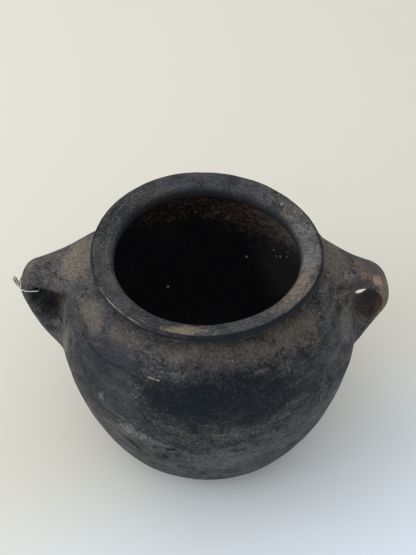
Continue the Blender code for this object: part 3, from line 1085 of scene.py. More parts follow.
# Noise textures, each as its scale, detail and roughness.
CLOUDS = (28.0, 4.0, 0.6)
BLOTCHES = (110.0, 6.0, 0.70)
GRAIN = (640.0, 4.0, 0.75)
WARMTH = (46.0, 5.0, 0.65)
SPARKS = (1150.0, 2.0, 0.6)
BROAD_BAYS = (120.0, 4.0, 0.65)
FINE_BAYS = (520.0, 4.0, 0.70)
CRUMBS = (390.0, 3.0, 0.60)
STREAKS = (1.0, 5.0, 0.70)
RUST_CRUMBS = (340.0, 3.0, 0.62)
RUST_MOTTLE = (170.0, 5.0, 0.70)
GRIME = (900.0, 4.0, 0.6)
SCUFFS = (4200.0, 2.0, 0.5)


class SharedEffects:
    """The effects that several finishes use, each built once as a node group."""

    def __init__(self) -> None:
        """Builds the groups."""
        self.tone = self.clay_tone()
        self.wander = self.edge_wander()
        self.patch = self.wear_and_painted_light_patch()
        self.scratch = self.scratch_line()
        self.streaks = self.wipe_streaks()
        self.flecks = self.pale_flecks()

    def clay_tone(self) -> bpy.types.NodeTree:
        """Mottled clay: smoke clouds, blotches, grain and specks, with painted shade darkening the hollows
        and high spots pale.
        """
        sheet, given, out = new_group(
            "clay_tone",
            {
                "Place": "vector",
                "Relief": "number",
                "Dark": "colour",
                "Cool": "colour",
                "Warm": "colour",
                "Pale": "colour",
            },
            {"Colour": "colour", "Grain": "number", "Blotch": "number"},
        )
        place = given["Place"]
        wide = sheet.vector("MULTIPLY", place, (1.0, 1.0, 1.5))
        cloud = sheet.noise(place, *CLOUDS)
        blotch = sheet.noise(wide, *BLOTCHES)
        grain = sheet.noise(place, *GRAIN)
        warmth = sheet.noise(sheet.vector("ADD", place, (3.0, 1.0, 2.0)), *WARMTH)
        tone = sheet.math("MULTIPLY_ADD", cloud, 0.24, sheet.times(blotch, 0.36))
        tone = sheet.math("MULTIPLY_ADD", grain, 0.40, tone)
        lit = sheet.mix(sheet.ramp(warmth, 0.42, 0.58), given["Cool"], given["Warm"])
        colour = sheet.mix(sheet.ramp(tone, 0.42, 0.58), given["Dark"], lit)
        spark = sheet.noise(place, *SPARKS)
        colour = sheet.mix(sheet.ramp(spark, 0.56, 0.74, 0.0, 0.42), colour, given["Pale"])
        colour = sheet.mix(sheet.ramp(spark, 0.44, 0.28, 0.0, 0.50), colour, PORE)
        speck = sheet.times(sheet.ramp(grain, 0.57, 0.68), sheet.ramp(blotch, 0.40, 0.60))
        colour = sheet.mix(sheet.times(speck, 0.70), colour, given["Pale"])
        pore = sheet.times(sheet.ramp(grain, 0.42, 0.32), 0.60)
        colour = sheet.mix(pore, colour, PORE)
        proud = sheet.times(sheet.ramp(given["Relief"], 0.10, 0.42), 0.20)
        colour = sheet.mix(proud, colour, given["Pale"])
        # Painted shade: the colour darkens towards near-black where the relief sinks more than 0.2 mm, in the
        # dents and hollows.
        sunk = sheet.times(sheet.ramp(given["Relief"], -0.20, -0.60), 0.85)
        colour = sheet.mix(sunk, colour, HOLLOW_SHADE)
        sheet.feed(out.inputs["Colour"], colour)
        sheet.feed(out.inputs["Grain"], grain)
        sheet.feed(out.inputs["Blotch"], blotch)
        return sheet.tree

    def edge_wander(self) -> bpy.types.NodeTree:
        """How far the edges of patches stray to either side: in broad bays, or broken into crumbs."""
        sheet, given, out = new_group(
            "edge_wander", {"Place": "vector"}, {"Broad": "number", "Crumbs": "number"}
        )
        coarse = sheet.math("SUBTRACT", sheet.noise(given["Place"], *BROAD_BAYS), 0.5)
        fine = sheet.math("SUBTRACT", sheet.noise(given["Place"], *FINE_BAYS), 0.5)
        crumbs = sheet.math("SUBTRACT", sheet.noise(given["Place"], *CRUMBS), 0.5)
        broad = sheet.math("MULTIPLY_ADD", fine, 0.9, sheet.times(coarse, 0.8))
        broken = sheet.math("MULTIPLY_ADD", crumbs, 2.4, sheet.times(fine, 0.9))
        sheet.feed(out.inputs["Broad"], broad)
        sheet.feed(out.inputs["Crumbs"], broken)
        return sheet.tree

    def wear_and_painted_light_patch(self) -> bpy.types.NodeTree:
        """An egg-shaped patch in space with a ragged, broken edge."""
        sheet, given, out = new_group(
            "wear_and_painted_light_patch",
            {
                "Place": "vector",
                "Centre": "vector",
                "Reach": "vector",
                "Wander": "number",
                "Ragged": "number",
            },
            {"Mask": "number"},
        )
        offset = sheet.vector("SUBTRACT", given["Place"], given["Centre"])
        length = sheet.vector("LENGTH", sheet.vector("DIVIDE", offset, given["Reach"]))
        distance = sheet.math("MULTIPLY_ADD", given["Wander"], given["Ragged"], length)
        sheet.feed(out.inputs["Mask"], sheet.ramp(distance, 1.15, 0.55))
        return sheet.tree

    def scratch_line(self) -> bpy.types.NodeTree:
        """A scratch between two points, as a mask that falls off with distance from it."""
        sheet, given, out = new_group(
            "scratch_line",
            {"Place": "vector", "Start": "vector", "End": "vector", "Width": "number", "Wander": "number"},
            {"Mask": "number"},
        )
        along = sheet.vector("SUBTRACT", given["End"], given["Start"])
        offset = sheet.vector("SUBTRACT", given["Place"], given["Start"])
        square = sheet.vector("DOT_PRODUCT", along, along)
        share = sheet.math("DIVIDE", sheet.vector("DOT_PRODUCT", offset, along), square)
        share = sheet.math("MINIMUM", sheet.math("MAXIMUM", share, 0.0), 1.0)
        distance = sheet.vector("LENGTH", sheet.vector("SUBTRACT", offset, sheet.scaled(along, share)))
        rough = sheet.times(given["Wander"], given["Width"])
        distance = sheet.math("ADD", distance, rough)
        half = sheet.times(given["Width"], 0.35)
        sheet.feed(out.inputs["Mask"], sheet.ramp(distance, given["Width"], half))
        return sheet.tree

    def wipe_streaks(self) -> bpy.types.NodeTree:
        """Streaks round the pot: noise read at the direction from the axis, the radius and the height."""
        sheet, given, out = new_group(
            "wipe_streaks",
            {"Place": "vector", "Along": "number", "By Radius": "number", "By Height": "number"},
            {"Streak": "number"},
        )
        level = sheet.vector("MULTIPLY", given["Place"], (1.0, 1.0, 0.0))
        radius = sheet.vector("LENGTH", level)
        heading = sheet.scaled(sheet.vector("NORMALIZE", level), given["Along"])
        split = sheet.add("ShaderNodeSeparateXYZ")
        sheet.feed(split.inputs[0], given["Place"])
        height = sheet.times(split.outputs[2], given["By Height"])
        across = sheet.math("MULTIPLY_ADD", radius, given["By Radius"], height)
        join = sheet.add("ShaderNodeCombineXYZ")
        sheet.feed(join.inputs[2], across)
        place = sheet.vector("ADD", heading, join.outputs[0])
        sheet.feed(out.inputs["Streak"], sheet.noise(place, *STREAKS))
        return sheet.tree

    def pale_flecks(self) -> bpy.types.NodeTree:
        """Small flecks in some of the cells of a scattered pattern."""
        sheet, given, out = new_group(
            "pale_flecks",
            {"Place": "vector", "Scale": "number", "Size": "number", "Share": "number"},
            {"Mask": "number"},
        )
        cells = sheet.add("ShaderNodeTexVoronoi")
        sheet.feed(cells.inputs["Vector"], given["Place"])
        sheet.feed(cells.inputs["Scale"], given["Scale"])
        split = sheet.add("ShaderNodeSeparateColor")
        sheet.feed(split.inputs[0], cells.outputs["Color"])
        chosen = sheet.math("LESS_THAN", split.outputs[0], given["Share"])
        size = sheet.times(given["Size"], sheet.ramp(split.outputs[1], 0.0, 1.0, 0.35, 1.0))
        core = sheet.times(size, 0.45)
        round_mask = sheet.ramp(cells.outputs["Distance"], size, core)
        sheet.feed(out.inputs["Mask"], sheet.times(round_mask, chosen))
        return sheet.tree


@dataclass(frozen=True)
class Patch:
    """A discoloured place on the clay, or a place of painted light or shade, with an edge that strays in bays
    or is broken into crumbs.
    """

    centre: Point
    reach: Point
    colour: Colour
    strength: float
    ragged: float
    gloss: float = 0.0
    crumbly: bool = False


@dataclass(frozen=True)
class Scratch:
    """A thin scratch along a broken line, which shows the clay under the smoke, or a near-black line, painted
    shade where it lies in a dent or groove.
    """

    line: tuple[Point, ...]
    width: float
    colour: Colour
    strength: float


RIM_TOP = 0.1455
RIM_WEAR_RADIUS = 0.0572
RIM_WEAR_REACH = (0.0082, 0.0082, 0.0060)
SPECK_REACH = (0.00105, 0.00105, 0.00105)


def on_rim(radius: float, heading: float) -> Point:
    """A point on the rim's top, at a heading in degrees from the right handle."""
    turn = math.radians(heading)
    return (radius * math.cos(turn), radius * math.sin(turn), RIM_TOP)


BROWN = paint(110, 100, 90)
FAWN = paint(128, 117, 103)
DUN = paint(92, 84, 77)
TAN = paint(156, 138, 118)
PALE = paint(150, 147, 142)
CHALK = paint(178, 174, 168)
BLUE_BLACK = paint(13, 21, 30)
SLATE = paint(44, 52, 63)
DEEP_SLATE = paint(36, 42, 52)
SMOKE = paint(44, 46, 50)
RUST = paint(126, 94, 83)
PINK_CLAY = paint(164, 132, 118)
# Near-black: painted shade in the pits, chip, gouge and shoulder groove, and thin dark lines round the neck.
DENT_SHADE_AND_DARK_LINE = paint(12, 12, 13)
# Near-black painted shade for the hollows of the relief.
HOLLOW_SHADE = paint(15, 15, 16)
PORE = paint(22, 22, 24)
RUST_CRUMB = paint(180, 138, 117)
SALT = paint(250, 248, 244)
SOOT = paint(36, 37, 43)
SOOT_GREY = paint(46, 45, 47)

# Stains of the neck and shoulder, which reach over the roots of the handles, with three pale patches on the
# handles that are painted light.
ROOT_PATCHES = (
    Patch((0.000, -0.066, 0.1325), (0.056, 0.016, 0.0065), BROWN, 0.46, 2.0),
    Patch((0.047, -0.048, 0.1310), (0.020, 0.017, 0.0080), BROWN, 0.52, 2.2),
    Patch((-0.045, -0.050, 0.1315), (0.016, 0.014, 0.0060), BROWN, 0.46, 2.0),
    Patch((-0.0635, -0.0355, 0.1275), (0.010, 0.014, 0.0075), BROWN, 0.84, 1.8),
    Patch((-0.0735, 0.003, 0.1340), (0.014, 0.018, 0.0095), FAWN, 0.85, 1.6),
    Patch((0.070, 0.005, 0.1330), (0.014, 0.020, 0.0105), BROWN, 0.80, 1.8),
    Patch((-0.0715, -0.020, 0.1275), (0.0085, 0.0085, 0.0095), SLATE, 0.36, 1.9),
    Patch((-0.0832, -0.0275, 0.0980), (0.0042, 0.0062, 0.0120), FAWN, 0.62, 1.0),
    Patch((-0.0850, -0.0140, 0.1035), (0.0030, 0.0090, 0.0042), FAWN, 0.48, 1.0),
    # Painted highlight: a pale band on the lit front edge of the right handle's lower root.
    Patch((0.0790, -0.0265, 0.1100), (0.0075, 0.0130, 0.0115), PALE, 0.30, 0.9),
    # Painted light: tan in the left handle's hole, lighter than its brown clay, against the shade there.
    Patch((-0.0820, -0.0010, 0.1060), (0.0090, 0.0130, 0.0110), TAN, 0.50, 1.4),
    # Painted light: pale on the right handle's inner face near its lower root and in its hole.
    Patch((0.0830, 0.0000, 0.1040), (0.0090, 0.0140, 0.0110), PALE, 0.42, 1.4),
    Patch((0.000, 0.062, 0.1300), (0.060, 0.030, 0.0090), BROWN, 0.45, 2.0),
)
WALL_PATCHES = ROOT_PATCHES + (
    Patch((-0.064, -0.060, 0.1000), (0.034, 0.032, 0.0270), SMOKE, 0.56, 0.9),
    Patch((-0.0776, -0.0160, 0.1190), (0.0045, 0.0065, 0.0045), BLUE_BLACK, 0.42, 1.6),
    Patch((-0.0735, -0.0265, 0.1205), (0.0045, 0.0065, 0.0045), BLUE_BLACK, 0.46, 1.6),
    Patch((-0.0680, -0.0385, 0.1200), (0.0050, 0.0070, 0.0045), BLUE_BLACK, 0.46, 1.6),
    Patch((-0.038, -0.079, 0.0880), (0.026, 0.022, 0.0210), SMOKE, 0.34, 0.9),
    Patch((0.042, -0.078, 0.0780), (0.026, 0.024, 0.0190), SMOKE, 0.18, 0.9),
    Patch((-0.049, -0.060, 0.1220), (0.022, 0.018, 0.0065), DEEP_SLATE, 0.75, 1.6, 0.10),
    Patch((-0.064, -0.054, 0.1060), (0.022, 0.022, 0.0130), DEEP_SLATE, 0.45, 1.8),
    Patch((0.014, -0.082, 0.1105), (0.050, 0.028, 0.0195), BLUE_BLACK, 1.08, 1.5, 0.08),
    Patch((0.050, -0.066, 0.1130), (0.021, 0.022, 0.0135), BLUE_BLACK, 0.36, 1.9, 0.10),
    Patch((-0.012, -0.080, 0.1140), (0.030, 0.020, 0.0115), BLUE_BLACK, 0.90, 1.4, 0.10),
    Patch((-0.029, -0.078, 0.1125), (0.0085, 0.010, 0.0042), BLUE_BLACK, 0.75, 1.0, 0.10),
    Patch((0.069, -0.040, 0.1120), (0.012, 0.018, 0.0200), SLATE, 0.28, 2.2, 0.06),
    Patch((-0.0590, -0.0658, 0.0963), (0.0024, 0.0024, 0.0030), CHALK, 0.24, 2.4, 0.0, True),
    Patch((-0.0430, -0.0780, 0.0800), (0.0085, 0.0085, 0.0070), CHALK, 0.17, 2.2, 0.0, True),
    Patch((-0.0300, -0.0835, 0.0760), (0.0120, 0.0120, 0.0050), PALE, 0.22, 2.2, 0.0, True),
    # Painted shade: near-black in two pits of the lower belly.
    Patch((-0.0205, -0.0864, 0.0735), (0.0036, 0.0024, 0.0019), DENT_SHADE_AND_DARK_LINE, 1.30, 1.6, 0.0, True),
    Patch((-0.0258, -0.0830, 0.0595), (0.0048, 0.0036, 0.0044), DENT_SHADE_AND_DARK_LINE, 1.20, 2.0, 0.0, True),
    Patch((0.0165, -0.0842, 0.1030), (0.0032, 0.0032, 0.0034), TAN, 0.07, 2.8, 0.0, True),
    Patch((0.0125, -0.0882, 0.0925), (0.0040, 0.0040, 0.0046), PALE, 0.10, 2.6, 0.0, True),
    Patch((0.0080, -0.0840, 0.0610), (0.0300, 0.0200, 0.0120), PALE, 0.15, 2.2, 0.0, True),
    Patch((0.020, 0.088, 0.0900), (0.045, 0.024, 0.0220), BLUE_BLACK, 0.80, 1.5, 0.10),
    Patch((-0.070, 0.052, 0.1000), (0.030, 0.030, 0.0200), SLATE, 0.45, 1.8, 0.06),
    Patch((0.064, 0.056, 0.0500), (0.030, 0.030, 0.0160), DUN, 0.40, 2.0),
    Patch((-0.060, 0.050, 0.0300), (0.034, 0.034, 0.0140), DUN, 0.40, 2.0),
)
WALL_SCRATCHES = (
    Scratch(((-0.0318, -0.0715, 0.1208), (-0.0258, -0.0740, 0.1207)), 0.00070, TAN, 0.80),
    Scratch(
        (
            (0.0020, -0.0708, 0.1295),
            (0.0018, -0.0695, 0.1308),
            (0.0041, -0.0677, 0.1318),
            (0.0068, -0.0672, 0.1321),
            (0.0076, -0.0683, 0.1313),
            (0.0052, -0.0704, 0.1298),
            (0.0026, -0.0710, 0.1293),
        ),
        0.00050,
        TAN,
        0.60,
    ),
    Scratch(((0.0439, -0.0656, 0.1198), (0.0445, -0.0670, 0.1171)), 0.00045, PALE, 0.35),
    Scratch(
        (
            (0.0462, -0.0652, 0.1180),
            (0.0468, -0.0644, 0.1187),
            (0.0480, -0.0651, 0.1165),
            (0.0466, -0.0664, 0.1160),
        ),
        0.00045,
        PALE,
        0.65,
    ),
    Scratch(
        ((0.0646, -0.0608, 0.0947), (0.0664, -0.0586, 0.0950), (0.0680, -0.0575, 0.0920)),
        0.00050,
        PALE,
        0.65,
    ),
    Scratch(((-0.0483, -0.0755, 0.0820), (-0.0440, -0.0778, 0.0775)), 0.00070, CHALK, 0.46),
    Scratch(((-0.0452, -0.0776, 0.0842), (-0.0417, -0.0789, 0.0772)), 0.00065, CHALK, 0.52),
    Scratch(((-0.0421, -0.0792, 0.0878), (-0.0387, -0.0806, 0.0788)), 0.00055, CHALK, 0.36),
    Scratch(((-0.0377, -0.0809, 0.0772), (-0.0341, -0.0829, 0.0794)), 0.00060, CHALK, 0.50),
    # Painted shade: near-black lines in the pits, the chip, the gouge and the shoulder groove.
    Scratch(
        ((-0.0220, -0.0860, 0.0718), (-0.0203, -0.0865, 0.0731), (-0.0185, -0.0871, 0.0751)),
        0.0014,
        DENT_SHADE_AND_DARK_LINE,
        1.0,
    ),
    Scratch(((-0.0258, -0.0837, 0.0637), (-0.0236, -0.0838, 0.0607)), 0.0013, DENT_SHADE_AND_DARK_LINE, 0.95),
    Scratch(LOWER_CHIP, 0.0013, DENT_SHADE_AND_DARK_LINE, 0.95),
    Scratch(BELLY_GOUGE, 0.0015, DENT_SHADE_AND_DARK_LINE, 0.8),
    Scratch(
        ((-0.0353, -0.0799, 0.1004), (-0.0332, -0.0821, 0.0960), (-0.0310, -0.0828, 0.0962)),
        0.0009,
        DENT_SHADE_AND_DARK_LINE,
        0.7,
    ),
    Scratch(
        ((-0.0706, -0.0389, 0.1169), (-0.0592, -0.0546, 0.1171), (-0.0452, -0.0652, 0.1191)),
        0.0009,
        DENT_SHADE_AND_DARK_LINE,
        0.4,
    ),
    # Thin near-black lines round the neck at the front.
    Scratch(
        ((-0.0126, -0.0722, 0.1271), (-0.0069, -0.0731, 0.1269), (-0.0006, -0.0739, 0.1266)),
        0.0008,
        DENT_SHADE_AND_DARK_LINE,
        0.45,
    ),
    Scratch(
        ((-0.0248, -0.0678, 0.1282), (-0.0190, -0.0694, 0.1285), (-0.0132, -0.0705, 0.1287)),
        0.0006,
        DENT_SHADE_AND_DARK_LINE,
        0.35,
    ),
    Scratch(
        ((-0.0037, -0.0752, 0.1249), (0.0010, -0.0756, 0.1245), (0.0052, -0.0761, 0.1235)),
        0.0008,
        DENT_SHADE_AND_DARK_LINE,
        0.50,
    ),
    Scratch(((0.0173, -0.0730, 0.1253), (0.0258, -0.0707, 0.1249)), 0.0006, DENT_SHADE_AND_DARK_LINE, 0.35),
)
RIM_WEAR = (
    (-46.0, TAN, 0.12),
    (-38.0, TAN, 0.24),
    (-31.0, TAN, 0.32),
    (-24.0, TAN, 0.38),
    (-17.0, TAN, 0.32),
    (-10.0, PALE, 0.26),
    (-3.0, PALE, 0.22),
    (5.0, PALE, 0.20),
    (13.0, PALE, 0.22),
    (22.0, PALE, 0.22),
    (31.0, TAN, 0.16),
)
RIM_PATCHES = tuple(
    Patch(on_rim(RIM_WEAR_RADIUS, heading), RIM_WEAR_REACH, colour, strength, 2.2)
    for heading, colour, strength in RIM_WEAR
) + (
    Patch((-0.0125, -0.0575, RIM_TOP), (0.0135, 0.0064, 0.0050), TAN, 0.66, 1.9),
    Patch((0.0000, 0.0600, 0.1480), (0.0500, 0.0200, 0.0100), SLATE, 0.30, 1.8),
    Patch((-0.0601, 0.0007, 0.1460), (0.0011, 0.0013, 0.0020), TAN, 0.90, 0.8),
    Patch((0.0446, 0.0375, 0.1460), (0.0009, 0.0010, 0.0020), TAN, 0.85, 0.8),
    Patch((0.0592, 0.0126, 0.1460), (0.0009, 0.0010, 0.0020), PALE, 0.80, 0.8),
)
RIM_POLISH = Patch((-0.0437, -0.0468, RIM_TOP), (0.0350, 0.0350, 0.0300), CHALK, 1.0, 0.5)
HANDLE_PATCHES = (
    Patch((0.0965, -0.0040, 0.1180), (0.0230, 0.0210, 0.0210), BROWN, 0.36, 1.0),
    Patch((-0.1036, 0.0045, 0.1267), (0.0030, 0.0034, 0.0030), TAN, 0.45, 1.6, 0.0, True),
    Patch((-0.1045, -0.0030, 0.1240), (0.0070, 0.0090, 0.0070), DUN, 0.45, 2.0),
    Patch((0.0870, 0.0020, 0.1270), (0.0170, 0.0150, 0.0090), SLATE, 0.14, 2.2),
    Patch((0.0860, -0.0060, 0.1280), (0.0080, 0.0070, 0.0060), BLUE_BLACK, 0.30, 2.4, 0.08, True),
    Patch((0.0960, 0.0055, 0.1255), (0.0050, 0.0060, 0.0050), BLUE_BLACK, 0.40, 2.0, 0.08, True),
    Patch((0.0888, 0.0026, 0.1287), (0.0038, 0.0034, 0.0034), RUST, 0.56, 2.6, 0.0, True),
    Patch((0.0805, -0.0075, 0.1308), (0.0036, 0.0030, 0.0034), PALE, 0.42, 2.8, 0.0, True),
    Patch((0.0905, -0.0035, 0.1275), (0.0040, 0.0032, 0.0034), PINK_CLAY, 0.40, 2.8, 0.0, True),
    Patch((0.0998, -0.0050, 0.1235), (0.0044, 0.0040, 0.0046), paint(170, 144, 132), 0.85, 1.3),
    Patch((0.1035, -0.0050, 0.1135), (0.0075, 0.0120, 0.0110), PINK_CLAY, 0.30, 1.9),
    Patch((0.0990, -0.0055, 0.1070), (0.0050, 0.0075, 0.0095), PINK_CLAY, 0.36, 1.6),
)
# Painted light: a pale grey pool on the inner wall at the back right, where light falls in through the mouth.
PAINTED_LIGHT_INSIDE = Patch((0.060, 0.052, 0.0760), (0.034, 0.042, 0.0420), paint(120, 118, 118), 0.30, 0.9)
# Rust-brown bare clay inside. The two patches at the back right are painted lighter, standing in for the
# light that falls on that wall.
RUSTY_AND_LIT_INSIDE = (
    Patch((-0.005, 0.074, 0.1120), (0.055, 0.030, 0.0220), paint(62, 56, 53), 0.55, 1.6),
    Patch((0.032, 0.070, 0.1020), (0.038, 0.028, 0.0220), paint(122, 108, 100), 0.85, 1.6),
    Patch((0.050, 0.060, 0.1020), (0.026, 0.026, 0.0190), paint(160, 144, 134), 0.82, 1.8),
)
INSIDE_SPECKS = (
    (0.0452, 0.0683, 0.0754),
    (0.0470, 0.0665, 0.0713),
    (0.0499, 0.0648, 0.0726),
    (0.0541, 0.0621, 0.0792),
    (0.0536, 0.0619, 0.0751),
    (0.0274, 0.0750, 0.0623),
    (-0.0279, 0.0682, 0.0391),
)


@dataclass(frozen=True)
class ClayFinish:
    """Fired clay, blackened by smoke, rubbed by hands and scuffed in use."""

    name: str
    dark: Colour
    cool: Colour
    warm: Colour
    pale: Colour
    patches: tuple[Patch, ...]
    scratches: tuple[Scratch, ...] = ()
    roughness: float = 0.60
    streak_scale: tuple[float, float, float] = (3.0, 60.0, 330.0)
    streak_share: float = 0.22
    fleck_share: float = 0.05
    fleck_scale: float = 300.0
    fleck_size: float = 0.26
    fleck_strength: float = 0.45
    bump_strength: float = 0.5
    bump_depth: float = 0.0007
    specular: float = 0.12
    lip_colour: Colour | None = None
    lip_polish: float = 0.12
    lip_gleam: float = 1.55
    holds_inside: bool = True

    def build(self, effects: SharedEffects) -> bpy.types.Material:
        """The finish as a material.

        Args:
            effects: The shared node groups.

        Returns:
            The material, which reads Object coordinates and the pieces' own traits.
        """
        material, sheet, shader = new_material(self.name)
        place = sheet.object_place()
        inside = sheet.trait("inside")
        relief = sheet.trait("relief")
        tone = sheet.place(
            effects.tone,
            Place=place,
            Relief=relief,
            Dark=self.dark,
            Cool=self.cool,
            Warm=self.warm,
            Pale=self.pale,
        )
        wander = sheet.place(effects.wander, Place=place)
        along, by_radius, by_height = self.streak_scale
        streak = sheet.place(
            effects.streaks, Place=place, Along=along, By_Radius=by_radius, By_Height=by_height
        ).outputs["Streak"]
        wiped = sheet.times(sheet.ramp(streak, 0.53, 0.68), self.streak_share)
        colour = sheet.mix(wiped, tone.outputs["Colour"], self.pale)
        rough = sheet.ramp(tone.outputs["Blotch"], 0.3, 0.7, self.roughness + 0.09, self.roughness - 0.09)
        for patch in self.patches:
            mask = self.patch_mask(sheet, effects, patch, place, wander)
            worn = sheet.ramp(tone.outputs["Grain"], 0.42, 0.58, patch.strength * 0.50, patch.strength)
            colour = sheet.mix(sheet.times(mask, worn), colour, patch.colour)
            if patch.gloss:
                rough = sheet.math("MULTIPLY_ADD", mask, -patch.gloss, rough)
        for scratch in self.scratches:
            mask = self.scratch_mask(sheet, effects, scratch, place, wander)
            colour = sheet.mix(sheet.times(mask, scratch.strength), colour, scratch.colour)
        fleck = sheet.place(
            effects.flecks,
            Place=place,
            Scale=self.fleck_scale,
            Size=self.fleck_size,
            Share=self.fleck_share,
        ).outputs["Mask"]
        colour = sheet.mix(sheet.times(fleck, self.fleck_strength), colour, PALE)
        if self.lip_colour:
            lip = sheet.trait("lip")
            lip = sheet.ramp(sheet.math("MULTIPLY_ADD", wander.outputs["Broad"], -1.2, lip), 0.30, 0.70)
            colour = sheet.mix(sheet.times(lip, 0.9), colour, self.lip_colour)
            brow = sheet.trait("brow")
            brow = sheet.times(brow, self.patch_mask(sheet, effects, RIM_POLISH, place, wander))
            polish = sheet.ramp(tone.outputs["Blotch"], 0.38, 0.58, 0.25, 1.0)
            sheet.feed(shader.inputs["Coat Weight"], sheet.times(brow, polish))
            shader.inputs["Coat Roughness"].default_value = self.lip_polish
            shader.inputs["Coat IOR"].default_value = self.lip_gleam
        if self.holds_inside:
            colour = self.soot(sheet, effects, place, wander, inside, colour)
            rough = sheet.math("MULTIPLY_ADD", inside, 0.10, rough)
        height = sheet.math("MULTIPLY_ADD", streak, 0.35, tone.outputs["Grain"])
        normal = sheet.bump(height, self.bump_strength, self.bump_depth)
        sheet.feed(shader.inputs["Base Color"], colour)
        sheet.feed(shader.inputs["Roughness"], rough)
        sheet.feed(shader.inputs["Normal"], normal)
        shader.inputs["Specular IOR Level"].default_value = self.specular
        return material

    @staticmethod
    def patch_mask(
        sheet: NodeSheet, effects: SharedEffects, patch: Patch, place: Socket, wander: bpy.types.Node
    ) -> Socket:
        """The mask of one patch."""
        return sheet.place(
            effects.patch,
            Place=place,
            Centre=patch.centre,
            Reach=patch.reach,
            Wander=wander.outputs["Crumbs" if patch.crumbly else "Broad"],
            Ragged=patch.ragged,
        ).outputs["Mask"]

    @staticmethod
    def scratch_mask(
        sheet: NodeSheet, effects: SharedEffects, scratch: Scratch, place: Socket, wander: bpy.types.Node
    ) -> Socket:
        """The mask of one scratch, the strongest of its straight stretches at each point."""
        strongest = None
        for start, end in zip(scratch.line, scratch.line[1:]):
            mask = sheet.place(
                effects.scratch,
                Place=place,
                Start=start,
                End=end,
                Width=scratch.width,
                Wander=wander.outputs["Crumbs"],
            ).outputs["Mask"]
            strongest = sheet.math("MAXIMUM", strongest, mask) if strongest else mask
        return strongest

    def soot(
        self,
        sheet: NodeSheet,
        effects: SharedEffects,
        place: Socket,
        wander: bpy.types.Node,
        inside: Socket,
        colour: Socket,
    ) -> Socket:
        """The colour with the sooty inside laid over it, where rust-brown clay shows through in crumbs, and
        with light painted on the inner wall at the back right: a pale grey pool and lighter rust patches.

        Args:
            sheet: The material's sheet.
            effects: The shared node groups.
            place: Object coordinates.
            wander: The group that says how far edges stray.
            inside: The share of inside at each point.
            colour: The colour of the outside.

        Returns:
            The colour of the whole surface.
        """
        inner = sheet.mix(sheet.ramp(wander.outputs["Broad"], -0.15, 0.15), SOOT, SOOT_GREY)
        wide = sheet.vector("MULTIPLY", place, (1.0, 1.0, 1.7))
        crumbs = sheet.ramp(sheet.noise(wide, *RUST_CRUMBS), 0.53, 0.62)
        mottle = sheet.ramp(sheet.noise(wide, *RUST_MOTTLE), 0.42, 0.62, 0.25, 1.0)
        # Painted light: the pale grey pool on the inner wall at the back right.
        lit_pool = self.patch_mask(sheet, effects, PAINTED_LIGHT_INSIDE, place, wander)
        inner = sheet.mix(sheet.times(lit_pool, PAINTED_LIGHT_INSIDE.strength), inner, PAINTED_LIGHT_INSIDE.colour)
        for patch in RUSTY_AND_LIT_INSIDE:
            mask = self.patch_mask(sheet, effects, patch, place, wander)
            bare = sheet.times(mask, sheet.times(mottle, patch.strength))
            inner = sheet.mix(bare, inner, patch.colour)
            crumbled = sheet.times(mask, sheet.times(crumbs, 0.68))
            inner = sheet.mix(crumbled, inner, RUST_CRUMB)
        for centre in INSIDE_SPECKS:
            speck = Patch(centre, SPECK_REACH, SALT, 1.0, 0.3)
            inner = sheet.mix(self.patch_mask(sheet, effects, speck, place, wander), inner, speck.colour)
        return sheet.mix(inside, colour, inner)


@dataclass(frozen=True)
class WireFinish:
    """Bright drawn steel wire with a little grime."""

    name: str = "bright_wire"
    bright: Colour = paint(196, 196, 195)
    dull: Colour = paint(58, 58, 60)
    bump_strength: float = 0.2
    bump_depth: float = 0.00005

    def build(self) -> bpy.types.Material:
        """The finish as a metal material."""
        material, sheet, shader = new_material(self.name)
        place = sheet.object_place()
        grime = sheet.noise(place, *GRIME)
        scuff = sheet.noise(place, *SCUFFS)
        dulled = sheet.trait("dulled")
        grime = sheet.math("MULTIPLY_ADD", dulled, 0.10, grime)
        colour = sheet.mix(sheet.ramp(grime, 0.50, 0.66), self.bright, self.dull)
        sheet.feed(shader.inputs["Base Color"], colour)
        sheet.feed(shader.inputs["Roughness"], sheet.ramp(scuff, 0.3, 0.7, 0.22, 0.42))
        sheet.feed(shader.inputs["Normal"], sheet.bump(scuff, self.bump_strength, self.bump_depth))
        shader.inputs["Metallic"].default_value = 1.0
        return material


DARK_CLAY = (paint(29, 31, 34), paint(67, 68, 72), paint(78, 75, 73), paint(142, 138, 134))

CLAY_FINISHES = (
    ClayFinish("bowl_clay", *DARK_CLAY, WALL_PATCHES, WALL_SCRATCHES),
    ClayFinish("shoulder_clay", *DARK_CLAY, WALL_PATCHES, WALL_SCRATCHES),
    ClayFinish("base_clay", *DARK_CLAY, ()),
    ClayFinish(
        "rim_clay",
        paint(36, 38, 40),
        paint(71, 73, 76),
        paint(81, 78, 76),
        paint(132, 130, 127),
        RIM_PATCHES,
        streak_scale=(5.0, 900.0, 420.0),
        streak_share=0.26,
        specular=0.14,
        lip_colour=paint(14, 20, 28),
    ),
    ClayFinish(
        "handle_clay",
        paint(36, 37, 40),
        paint(76, 78, 82),
        paint(94, 88, 82),
        paint(138, 133, 127),
        ROOT_PATCHES + HANDLE_PATCHES,
        holds_inside=False,
    ),
)


